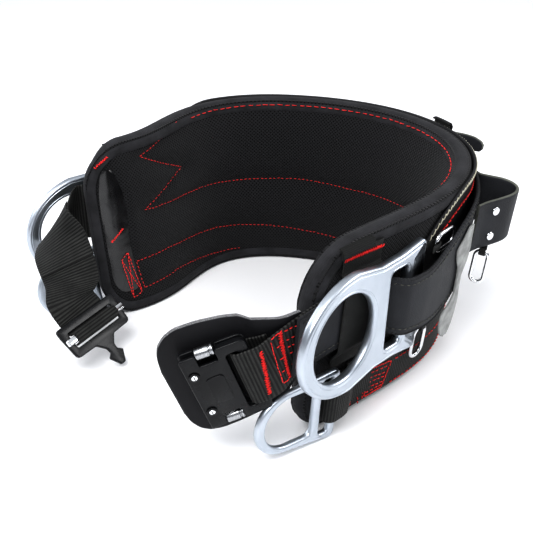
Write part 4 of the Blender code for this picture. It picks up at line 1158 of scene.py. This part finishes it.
buckle = {"t": 75.0, "half": 31.0, "mouth": -27.0, "back": 14.5, "corner": 5.0, "slot": (0.0, 8.8, 24.0, 3.0),
          "plate": 2.4, "edge": 0.6, "cavity": 3.2, "gap": 0.3, "notch": (-16.5, -4.5, 22.0),
          "lever": (-16.1, -4.9, 25.4, 33.0), "panel": (-17.0, -5.5, -11.0, 11.0, 3.2),
          "spacer": ((-3.6, -30, 1), (13.9, -30, 5), (13.9, 30, 5), (-3.6, 30, 1))}
rivet = {"x": -22.0, "y": 16.0, "hole": 2.3, "head": 3.3, "shank": 1.9, "dome": 2.0, "tall": 0.9}
buckleFrame = frontFrames[int(buckle["t"])]
wrapOut = buckle["plate"] + buckle["cavity"] / 2 + 1.2
frontRise = ((0, 0), (36, 0), (42, 0.6), (48, 2.2), (54, 4.2), (59, wrapOut))


def makeFrontWebbing():
    bend = halfTurn(buckle["t"] - 7.5, 0.0, wrapOut, 16, 0.85)[::-1]
    route = [*frontRise, (63, wrapOut), *bend, (62, -wrapOut), (57, -wrapOut + 0.5), (52, -3.6), (47, -2.4)]
    front = foldedStrap("frontWebbingRight", route, onFront, -webWidth / 2, webWidth / 2, webThick, "web",
                        pitch=2.4, depth=0.46, soften=3.0, step=0.3)
    belongs(front, "black_webbing", "front_webbing_right")
    frontStitches()


frontSeams = {
    "thick": (((54.5, 18), (60.0, -17)), ((41, 22), (45.5, -18))),
    "box": ((47, 21), (41, 22), (45.5, -18), (51.5, -16.5), (49.5, 2), (47, 21)),
    "dashes": (((39, 20), (26.5, 15.5)), ((39.5, 12), (26.5, 8.0)), ((40, 6), (26, 0.5)), ((40, 0), (27, -5)),
               ((41, -10), (30, -12.5)), ((41.5, -18.5), (31, -21)), ((46, 12), (41.5, 12)),
               ((47.5, 2), (43, 1)), ((49.5, -8), (44.5, -9)))}


def frontFace(t, v):
    w = readRows(frontRise, t)[0] + webThick / 2 + 0.22
    spot = onFront(t, w, v)
    return spot, onFront(t, w + 1, v) - spot


def frontStitches():
    for first, last in frontSeams["thick"]:
        bartack("frontThread", frontFace, first, last)
    dashes = [(pairs, 3.9, 2.6) for pairs in frontSeams["dashes"]]
    for pairs, pitch, length in [(frontSeams["box"], 3.0, 2.8), *dashes]:
        stitchLine("frontThread", *frontFace(*resampled(pairs, 0.5)[1].T), pitch, length, 0.36)
    sewSeam("frontThread", "red")


backing = {"thick": 3.0, "width": 88.0, "tip": 116.0, "rows": (
    (26, -25, 23, -1.3), (36, -29, 27, -1.3), (46, -35, 33.5, -4.2), (56, -40, 39, -6.9),
    (68, -43, 43.5, -6.9), (84, -45, 46.5, -6.9), (98, -45.5, 47, -6.9), (106, -43, 43, -6.9),
    (111, -38.5, 38, -6.9), (114.5, -31, 30, -6.9), (116, -22, 18, -6.9))}


def makeBacking():
    stops = np.concatenate([np.arange(26, 104, 1.0), np.arange(104, backing["tip"] + 0.01, 0.4)])
    low, high, outer = readRows(backing["rows"], stops, 5)
    across, rise = stripProfile(backing["width"], backing["thick"], 24)
    v = between(low, high, across / backing["width"])
    t, centre = stops[:, None], (outer - backing["thick"] / 2)[:, None]
    lift = rise * np.sqrt(np.clip((backing["tip"] - t) / 1.5, 0.1, 1.0))
    # the rims and the two columns beside them take the pale felt finish, a felt edge that also carries the
    # painted highlight along the edges
    piece = shellPiece("buckleBacking", onFront(t, centre + lift, v), onFront(t, centre - lift, v),
                       stops, across, "rubber", edgeFinish="feltAndHighlight", edgeColumns=2)
    belongs(piece, "black_rubberised_sheet", "buckle_backing_plate")


def buckleOutline():
    near, far, depth = buckle["notch"]
    half = buckle["half"]
    side = [(buckle["mouth"], half, 2.5), (near, half, 1.6), (near, depth, 1.2), (far, depth, 1.2),
            (far, half, 2.0), (buckle["back"], half, buckle["corner"])]
    return rounded([(x, -y, r) for x, y, r in side] + side[::-1], 4)


def makeBuckle():
    slot = slotLoop(*buckle["slot"])
    bores = [circleLoop(rivet["x"], y, rivet["hole"]) for y in (-rivet["y"], rivet["y"])]
    level = (buckle["cavity"] + buckle["plate"] + buckle["gap"]) / 2
    for name, height in (("Base", -level), ("Cover", level)):
        plate = plateSolid("buckle" + name, [buckleOutline(), slot, *bores], buckle["plate"], buckle["edge"],
                           "black", height)
        settle(plate, buckleFrame, "black_satin_metal", "buckle_" + name.lower())
    spacer = plateSolid("buckleSpacer", [rounded(buckle["spacer"], 4), slot],
                        buckle["cavity"] - buckle["gap"], 0.5, "black")
    settle(spacer, buckleFrame, "black_satin_metal", "buckle_spacer")
    top = level + buckle["plate"] / 2
    panel = plateSolid("bucklePanel", [boxLoop(*buckle["panel"])], 0.7, 0.3, "black", top + 0.28)
    settle(panel, buckleFrame, "black_satin_metal")
    for side, y in (("Lower", -rivet["y"]), ("Upper", rivet["y"])):
        makeRivet(side, y, top + 0.3)
    makeLevers()


def makeRivet(side, y, face):
    # a shank between two domed heads, the front one with a driver slot
    name, x, tall = "buckleRivet" + side, rivet["x"], rivet["tall"]
    shank = plateSolid(name, [circleLoop(x, y, rivet["shank"])], 2 * face + 0.4, 0.2, "steel")
    flat = tall - 0.3
    heads = [plateSolid(name + "Head", [circleLoop(x, y, rivet["head"], 32)], flat, 0.25, "black",
                        way * (face + flat / 2)) for way in (1, -1)]
    dome = plateSolid(name + "Dome", [circleLoop(x, y, rivet["dome"], 28)], tall, 0.3, "steel",
                      face + tall / 2, faceSteps=((0.4, 0.08), (0.6, 0.05)))
    ridge = plateSolid(name + "Slot", [boxLoop(x - 0.22, x + 0.22, y - 1.5, y + 1.5, 0.15, 2)], 0.3, 0.1,
                       "black", face + tall + 0.16)
    settle(joinPieces(name, [shank, *heads, dome, ridge]), buckleFrame, "polished_steel",
           "buckle_rivet_" + side.lower())


def makeLevers():
    x0, x1, y0, y1 = buckle["lever"]
    for name, side in (("Upper", 1), ("Lower", -1)):
        parts = []
        for radius, start, end in ((3.8, x0, x1 - 2.6), (3.3, x1 - 2.6, x1 - 1.5), (3.8, x1 - 1.5, x1)):
            choose()
            bpy.ops.mesh.primitive_cylinder_add(vertices=48, radius=radius, depth=end - start,
                                                location=((start + end) / 2, side * (y0 + y1) / 2, 0),
                                                rotation=(0, math.pi / 2, 0))
            bpy.ops.object.transform_apply(location=True, rotation=True, scale=True)
            bpy.ops.object.modifier_add(type="BEVEL")
            rim = bpy.context.object.modifiers[-1]
            rim.width, rim.segments = 0.35, 3
            bpy.ops.object.modifier_apply(modifier=rim.name)
            bpy.context.object.data.materials.append(finishes["brushed"])
            parts.append(bpy.context.object)
        settle(joinPieces("lever" + name, parts), buckleFrame, "polished_steel",
               "release_lever_" + name.lower(), body=name.lower() + "_lever", angle=40.0)


# Left webbing and tongue plate

leftWeb = {"s": (546.0, 560.0, 573.0), "z": 84.5, "o": 14.65, "steps": 14,
           "rows": ((-157.5, -63.0, 83.2, 5, 68), (-153.0, -76.2, 81.6, 25, 50),
                    (-137.5, -82.9, 69.3, 74, 24), (-119.0, -90.3, 53.5, 84, 4)),
           "hem": (13 / 4, 22 / 4), "hemThick": 1.2}
tongue = {"place": (-98.1, -99.3, 37.5), "across": (98.8, 2.3), "down": (11.3, -44.4), "thick": 2.6,
          "outline": ((-31, 0, 3), (31, 0, 3), (31, 7, 1), (29.5, 26, 4), (10, 26.5, 4), (4, 33, 3),
                      (3.6, 37, 1), (7.5, 40, 1.2), (2, 49, 1.5), (-2, 49, 1.5), (-7.5, 40, 1.2),
                      (-3.6, 37, 1), (-4, 33, 3), (-10, 26.5, 4), (-29.5, 26, 4), (-31, 7, 1)),
          "window": (24.0, 6.5, 19.5, 1.5), "bar": (31.0, 10.4, 15.6, 3.4), "barLift": -3.4,
          "approach": ((-13.0, 1.0), (-1.0, 2.6)),
          "thread": ((5.0, 2.6), (7.8, 1.6), (9.0, -1.0), (9.3, -4.0), (10.2, -5.8), (13.0, -6.4),
                     (15.8, -5.8), (16.8, -4.0), (17.1, -1.0), (17.1, 1.2))}


def aim(azimuth, elevation):
    a, e = math.radians(azimuth), math.radians(elevation)
    return Vector((math.cos(a) * math.cos(e), math.sin(a) * math.cos(e), math.sin(e)))


tonguePlacing = frameOf(Vector(tongue["place"]), aim(*tongue["across"]), aim(*tongue["down"]))


def spline(values, share):
    # Catmull-Rom through a list of vectors, share from 0 to its last index
    i = min(int(share), len(values) - 2)
    t = share - i
    a, b, c, d = (values[min(max(k, 0), len(values) - 1)] for k in (i - 1, i, i + 1, i + 2))
    return 0.5 * (2 * b + (c - a) * t + (2 * a - 5 * b + 4 * c - d) * t ** 2
                  + (3 * b - a - 3 * c + d) * t ** 3)


def ribbonLine():
    # the left webbing's middle line and the direction of its width
    centres, widths = [], []
    for s in leftWeb["s"]:
        placing = beltFrame(s, leftWeb["z"], leftWeb["o"])
        centres.append(placing.translation.copy())
        widths.append(placing.col[1].to_3d())
    for x, y, z, azimuth, elevation in leftWeb["rows"]:
        centres.append(Vector((x, y, z)))
        widths.append(aim(azimuth, elevation))
    for y, z in tongue["approach"]:
        centres.append(tonguePlacing @ Vector((0, y, z)))
        widths.append(tonguePlacing.col[0].to_3d())
    shares = np.linspace(0, len(centres) - 1, (len(centres) - 1) * leftWeb["steps"] + 1)
    line = [spline(centres, share) for share in shares]
    spans = [spline(widths, share).normalized() for share in shares]
    for y, z in tongue["thread"]:
        line.append(tonguePlacing @ Vector((0, y, z)))
        spans.append(tonguePlacing.col[0].to_3d())
    return np.array(line), np.array(spans), shares


ribbon = {"step": 0.45, "soften": 2.0, "pitch": 2.3, "depth": 0.42, "columns": 14}


def ribbonGrid(line, spans, thick, lift=0.0):
    # both faces of a webbing that turns along its line, and the places along and across it
    travel = travelAlong(line)
    stops = np.linspace(0, travel[-1], int(travel[-1] / ribbon["step"]) + 1)
    both = sampled(stops, travel, np.concatenate([line, spans], axis=1))
    both = smoothed(both, ribbon["soften"] / ribbon["step"] / 2)
    centre, span = both[:, :3], both[:, 3:]
    ahead = unit(np.gradient(centre, axis=0))
    # the ribs may lie a little askew, as on the belt, so they turn only part of the way
    span = unit(span - ahead * np.sum(span * ahead, axis=1, keepdims=True) * 0.35)
    normal = unit(np.cross(span, ahead))[:, None]
    across, half = stripProfile(webWidth, thick, ribbon["columns"])
    count = ribCount(stops, ribbon["pitch"])
    rise = normal * ribbed(count, ribbon["depth"], half)[:, :, None]
    middle = centre[:, None] + span[:, None] * across[:, None] + normal * lift
    return middle + rise, middle - rise, count * ribUnit, across


def makeLeftWebbing():
    line, spans, shares = ribbonLine()
    piece = shellPiece("frontWebbingLeft", *ribbonGrid(line, spans, webThick), "web")
    belongs(piece, "black_webbing", "front_webbing_left")
    first, last = leftWeb["hem"]
    part = np.nonzero((shares >= first) & (shares <= last))[0]
    lift = webThick / 2 + 0.3 + leftWeb["hemThick"] / 2
    hem = shellPiece("webbingHem", *ribbonGrid(line[part], spans[part], leftWeb["hemThick"], -lift), "web")
    belongs(hem, "black_webbing", "webbing_hem_layer")


def makeTongue():
    half, start, end, radius = tongue["window"]
    plate = plateSolid("tonguePlate",
                       [rounded(tongue["outline"], 4), boxLoop(-half, half, start, end, radius)],
                       tongue["thick"], 0.7, "black")
    settle(plate, tonguePlacing, "black_satin_metal", "tongue_plate")
    half, start, end, thick = tongue["bar"]
    bar = plateSolid("adjusterBar", [boxLoop(-half, half, start, end, 1.2)], thick, 0.9, "steel",
                     tongue["barLift"])
    settle(bar, tonguePlacing, "polished_steel", "adjuster_bar")


# Tool loop, tabs and small rings

toolLoop = {"thick": 2.6, "heights": (92.0, 130.0),
            "path": ((146.5, 26.4), (153, 30.5), (160, 38), (167, 45.5), (173, 48.5), (179, 47),
                     (184.5, 40.5), (188, 31), (191, 23.6), (196, 20.8)),
            "rivetAt": (156.5, 36.6), "rivetHeights": (101.0, 121.0), "rivetRadius": 3.2,
            "rivetTall": 1.4, "rivetEdge": 0.6, "rivetLift": 0.75}


def curve(path, shares):
    # places (s, o) on a smooth line through path, with shares from 0 to its last index
    centres = [Vector((s, o, 0)) for s, o in path]
    return np.array([spline(centres, share)[:2] for share in shares])


def makeToolLoop():
    last = len(toolLoop["path"]) - 1
    loop = foldedStrap("toolLoop", curve(toolLoop["path"], np.linspace(0, last, 90)), alongBelt,
                       *toolLoop["heights"], toolLoop["thick"], "leather", depth=0.0, soften=2.0,
                       edgeFinish="leatherEdge", edgeColumns=2)
    belongs(loop, "charcoal_leather", "tool_loop")
    coarse = curve(toolLoop["path"], [k / 3 for k in range(last * 3 + 1)])
    near = int(np.abs(coarse - toolLoop["rivetAt"]).sum(axis=1).argmin())
    for number, height in enumerate(toolLoop["rivetHeights"], 1):
        before, at, after = (Vector(alongBelt(*coarse[k], height)) for k in (near - 1, near, near + 1))
        rivetHead = plateSolid("toolRivet%d" % number, [circleLoop(0, 0, toolLoop["rivetRadius"], 28)],
                               toolLoop["rivetTall"], toolLoop["rivetEdge"], "steel",
                               toolLoop["thick"] / 2 + toolLoop["rivetLift"],
                               faceSteps=((0.5, 0.15), (0.7, 0.1)))
        settle(rivetHead, frameOf(at, after - before, (0, 0, 1)), "polished_steel",
               "tool_loop_rivet_%d" % number)


greyTab = {"thick": 1.6, "rows": (
    (120, 136.5, 5, 27.2), (113, 134.5, 12, 27.2), (107, 132, 19, 27.3), (99, 133.5, 18.5, 27.4),
    (90, 134.5, 12, 27.5), (81, 132.5, 5.5, 27.6), (68, 133, 5.5, 27.6), (62, 132, 11, 27.5),
    (56, 128, 20.5, 27.4), (47, 128, 20, 27.1), (39, 128.5, 16, 26.9), (34, 129, 10, 26.8),
    (31.5, 129.5, 4, 26.8))}


def makeGreyTab():
    z = np.arange(31.6, 120.1, 0.7)
    centre, width, o = (values[:, None] for values in readRows(sorted(greyTab["rows"]), z, 3))
    across, rise = stripProfile(20.0, greyTab["thick"], 14)
    rows, share = z[:, None], across / 20.0
    s = centre + width * share
    level = o + greyTab["thick"] / 2
    curl = 0.5 * np.sin(rows * 0.05) * (share * 2) ** 2
    piece = shellPiece("greyTab", onBelt(s, rows, level + rise + curl), onBelt(s, rows, level - rise + curl),
                       z, across, "suede")
    belongs(piece, "light_grey_tab", "grey_holder_tab")


rearTab = {"path": ((251, 22.6), (243, 22.7), (236, 25.0), (229, 31.0), (218, 36.5)), "thick": 2.6,
           "rows": ((0, 126, 139), (0.4, 128.5, 141), (0.85, 129.5, 141), (0.95, 131, 139.5),
                    (1.0, 133.5, 137))}


def makeRearTab():
    shares = np.concatenate([np.linspace(0, 0.8, 30), np.linspace(0.82, 1.0, 16)])
    route = curve(rearTab["path"], shares * (len(rearTab["path"]) - 1))
    side = turnedLeft(route)
    low, high = readRows(rearTab["rows"], shares)
    across, rise = stripProfile(15.0, rearTab["thick"], 8)
    z = between(low, high, across / 15.0)
    grids = []
    for lift in (rise, -rise):
        s, o = (route[:, k, None] + side[:, k, None] * lift for k in (0, 1))
        grids.append(onBelt(s, z, o))
    piece = shellPiece("rearTab", *grids, shares * 35, across, "leather",
                       edgeFinish="leatherEdge", edgeColumns=2)
    belongs(piece, "charcoal_leather", "rear_leather_tab")


smallRings = {
    "loopRing": {"node": "loop_ring", "place": (157.0, 75.0, 34.5), "long": 13.0, "short": 4.8, "wire": 1.4,
                 "tilt": 90.0, "turn": -90.0, "reach": 3.6},
    "lowRing": {"node": "low_ring", "place": lowRing["place"], "long": 13.0, "short": 7.0, "wire": 1.6,
                "tilt": 90.0, "turn": 0.0, "reach": 9.5},
    "topRing": {"node": "top_ring", "place": (117.0, 117.0, 19.8), "long": 12.0, "short": 6.5, "wire": 1.5,
                "tilt": 180.0, "turn": 0.0, "reach": 8.0}}
ringTab = {"thick": 0.9, "radius": 3.1, "half": 2.5}


def makeSmallRings():
    for name, look in smallRings.items():
        placing = beltFrame(*look["place"], roll=look["tilt"])
        placing = placing @ Matrix.Rotation(math.radians(look["turn"]), 4, "X")
        choose()
        bpy.ops.mesh.primitive_torus_add(major_radius=look["short"], minor_radius=look["wire"],
                                         major_segments=56, minor_segments=14)
        ring = bpy.context.object
        straight = look["long"] - look["short"]
        for vertex in ring.data.vertices:
            if abs(vertex.co.x) > 1e-4:
                vertex.co.x += math.copysign(straight, vertex.co.x)
        ring.name = name
        ring.data.materials.append(finishes["steel"])
        settle(ring, placing, "polished_steel", look["node"], angle=60.0)
        end, radius, half = look["long"] + look["reach"], ringTab["radius"], ringTab["half"]
        route = [(end, -radius), *halfTurn(look["long"], 0.0, radius, 12), (end, radius)]

        def place(a, b, c, placing=placing):
            return throughFrame(placing, np.stack(np.broadcast_arrays(a, c, b), axis=-1))

        tab = foldedStrap(name + "Tab", route, place, -half, half, ringTab["thick"], "web",
                          pitch=1.2, depth=0.08, soften=1.0, step=0.3, columns=6)
        belongs(tab, "black_webbing", look["node"] + "_tab")


makeBinding()
makePatches()
makePadSeams()
print("binding, patches and pad seams made")
makeOuterBand()
makeLowerStrap()
makeLeatherStrap()
makeKeepers()
print("bands and straps made")
makeSideRings()
makeLowerRings()
makeRingLoops()
print("rings made")
makeFrontWebbing()
makeBacking()
makeBuckle()
makeLeftWebbing()
makeTongue()
print("front webbing, buckle and tongue made")
makeToolLoop()
makeGreyTab()
makeRearTab()
makeSmallRings()
print("fittings made")


# Floor, light and camera

studio = {"cameraPlace": (389.0, -463.5, 393.1), "cameraAim": (0.0, 0.0, 70.0), "lens": 61.5, "sensor": 36.0,
          "floor": 20.0, "world": 0.85}


def makeFloor():
    choose()
    bpy.ops.mesh.primitive_plane_add(size=studio["floor"], location=(0, 0, 0))
    floor = bpy.context.object
    floor.name = "studioFloor"
    material, shader = newMaterial("paleFloor", (0.86, 0.86, 0.87), 0.9)
    soft = noise(material, coordinates(material, "Object"), 2.0, 2.0)
    tinted(material, shader, soft, (0.85, 0.85, 0.86), (0.88, 0.88, 0.89))
    floor.data.materials.append(material)


def aimedObject(name, data, place, goal):
    holder = bpy.data.objects.new(name, data)
    holder.location = place
    holder.rotation_euler = (Vector(goal) - Vector(place)).to_track_quat("-Z", "Y").to_euler()
    bpy.context.scene.collection.objects.link(holder)
    return holder


def areaLight(name, place, size, power, colour=(1.0, 1.0, 1.0)):
    lamp = bpy.data.lights.new(name, "AREA")
    lamp.shape = "RECTANGLE"
    lamp.size, lamp.size_y = size
    lamp.energy, lamp.color = power, colour
    aimedObject(name, lamp, place, (0, 0, 0.05))


def makeStudio():
    makeFloor()
    world = bpy.data.worlds.new("paleStudio")
    world.use_nodes = True
    split = addNode(world, "ShaderNodeSeparateXYZ")
    link(world, addNode(world, "ShaderNodeTexCoord").outputs["Generated"], split.inputs["Vector"])
    sky = ramp(world, split.outputs["Z"], (0.13, 0.14, 0.17), (0.95, 0.97, 1.0), 0.06, 0.55)
    # the camera sees a pale backdrop, and only reflections see the darker horizon
    backdrop = addNode(world, "ShaderNodeMixRGB", Color2=(1.0, 1.0, 1.0, 1.0))
    link(world, addNode(world, "ShaderNodeLightPath").outputs["Is Camera Ray"], backdrop.inputs["Fac"])
    link(world, sky, backdrop.inputs["Color1"])
    background = world.node_tree.nodes["Background"]
    link(world, backdrop.outputs["Color"], background.inputs["Color"])
    background.inputs["Strength"].default_value = studio["world"]
    scene = bpy.context.scene
    scene.world = world
    areaLight("keyLight", (0.3, -0.9, 1.3), (1.0, 0.7), 26.0)
    areaLight("fillLight", (-1.2, -0.5, 0.7), (0.9, 0.9), 9.0, (0.95, 0.97, 1.0))
    areaLight("rimLight", (0.9, 0.9, 0.9), (0.9, 0.6), 14.0)
    camera = bpy.data.cameras.new("studioCamera")
    camera.lens, camera.sensor_width, camera.clip_start = studio["lens"], studio["sensor"], 0.01
    scene.camera = aimedObject("studioCamera", camera, metres(studio["cameraPlace"]),
                               metres(studio["cameraAim"]))
    scene.view_settings.view_transform = "Standard"
    scene.view_settings.gamma = 0.8


makeStudio()
print("studio made")
